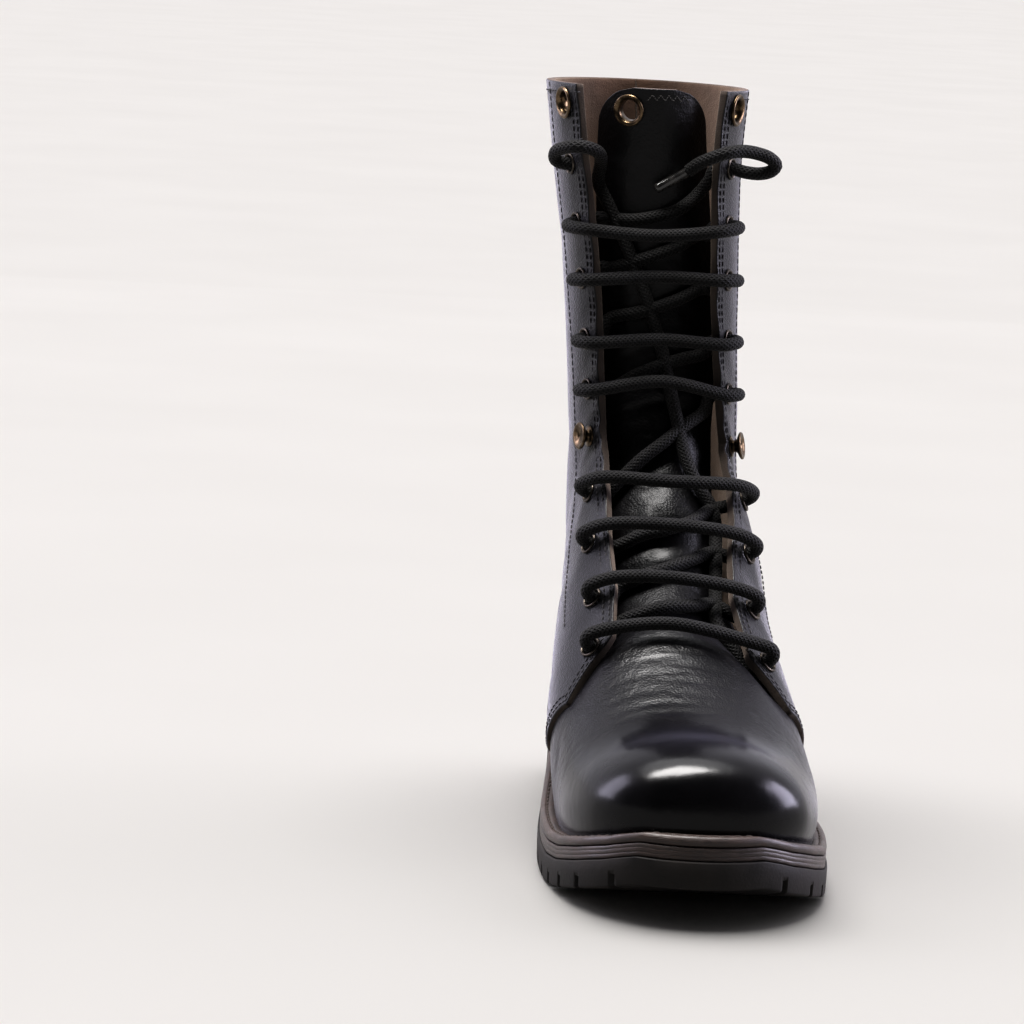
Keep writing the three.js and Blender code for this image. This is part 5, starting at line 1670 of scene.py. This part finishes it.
sew("facing_seams", facing_lines(), 2.9, 0.62, BLACK_THREAD, "upper_leather")
sew("heel_seams", counter_lines(), 2.9, 0.62, BLACK_THREAD, "upper_leather")
sew("welt_seam", [welt_line()], 4.4, 1.1, WELT_THREAD, "welt_leather", closed=True)
sew("tongue_seam", [tongue_zigzag()], 1.1, 0.45, GREY_THREAD, "tongue_leather")


# Studio: a pale floor, light all round and soft boxes

FLOOR_REACH = 60
FLOOR_BEND = 3.0
FLOOR_RISE = 0.00095


def make_floor():
    """Flat under the boot, and rising gently far behind it, so that no edge is seen."""
    rows = [-FLOOR_REACH, *np.linspace(FLOOR_BEND, FLOOR_REACH, 60)]
    points = []
    for y in rows:
        rise = FLOOR_RISE * max(0, y - FLOOR_BEND) ** 2 + 0.03 * max(0, y - FLOOR_BEND)
        points += [(-FLOOR_REACH, y, rise), (FLOOR_REACH, y, rise)]
    faces = [(2 * i, 2 * i + 1, 2 * i + 3, 2 * i + 2) for i in range(len(rows) - 1)]
    mesh = bpy.data.meshes.new("floor")
    mesh.from_pydata(points, [], faces)
    floor = placed("floor", mesh)
    finish = Finish("floor_paint", Roughness=0.85)
    finish.shader.inputs["Specular IOR Level"].default_value = 0.1
    mottle = finish.noise(3, 2)
    paint = finish.ramp(mottle, (0.3, (0.83, 0.806, 0.768)), (0.7, (0.85, 0.826, 0.788)))
    finish.into("Base Color", paint)
    mesh.materials.append(finish.material)


def make_world():
    """Bright behind the boot and at its sides, dim behind the camera."""
    world = bpy.data.worlds.new("studio")
    bpy.context.scene.world = world
    world.use_nodes = True
    tree = world.node_tree
    way = add_node(tree, "ShaderNodeTexCoord")
    split = add_node(tree, "ShaderNodeSeparateXYZ", {"Vector": way.outputs["Generated"]})
    spread = add_node(tree, "ShaderNodeMapRange", {"Value": split.outputs["Y"]}, {"From Min": -1})
    ramp = add_node(tree, "ShaderNodeValToRGB", {"Fac": spread.outputs["Result"]})
    front, back = ramp.color_ramp.elements
    front.position, back.position = 0.38, 0.66
    front.color = (0.05, 0.05, 0.052, 1)
    back.color = (0.95, 0.94, 1, 1)
    background = tree.nodes["Background"]
    tree.links.new(ramp.outputs["Color"], background.inputs["Color"])
    background.inputs["Strength"].default_value = 1.0


def soft_box(name, place, target, size, power, colour=(1, 0.98, 0.96), shape="RECTANGLE"):
    data = bpy.data.lights.new(name, "AREA")
    data.shape = shape
    data.size, data.size_y = size
    data.energy = power
    data.color = colour
    light = placed(name, data)
    light.location = place
    light.rotation_euler = (Vector(target) - Vector(place)).to_track_quat("-Z", "Y").to_euler()


def overhead(strength, spread):
    """One broad light from above, the same everywhere on the floor."""
    data = bpy.data.lights.new("overhead", "SUN")
    data.energy = strength
    data.angle = math.radians(spread)
    light = placed("overhead", data)
    light.rotation_euler = (math.radians(-12), math.radians(-6), 0)


def light_only_the_boot():
    """The soft boxes light the boot's pieces, and the floor keeps its even tone."""
    lit = bpy.data.collections.new("lit_by_boxes")
    for piece in bpy.context.scene.objects:
        if piece.type == "MESH" and piece.name != "floor":
            lit.objects.link(piece)
    for light in bpy.context.scene.objects:
        if light.type == "LIGHT" and light.data.type == "AREA":
            light.light_linking.receiver_collection = lit


make_floor()
make_world()
overhead(1.7, 50)
soft_box("top_light", (-0.3, -0.1, 1.9), (0, -0.05, 0.1), (0.7, 1.3), 80, shape="ELLIPSE")
soft_box("left_light", (-1.6, 0.5, 0.8), (0, 0, 0.15), (0.9, 1.3), 28, (0.86, 0.83, 1))
soft_box("right_light", (1.6, 0.1, 0.7), (0, 0, 0.15), (0.9, 1.3), 52, (0.86, 0.83, 1))
light_only_the_boot()

view = bpy.context.scene.view_settings
view.view_transform = "Standard"
view.gamma = 0.78
view.exposure = 0.12
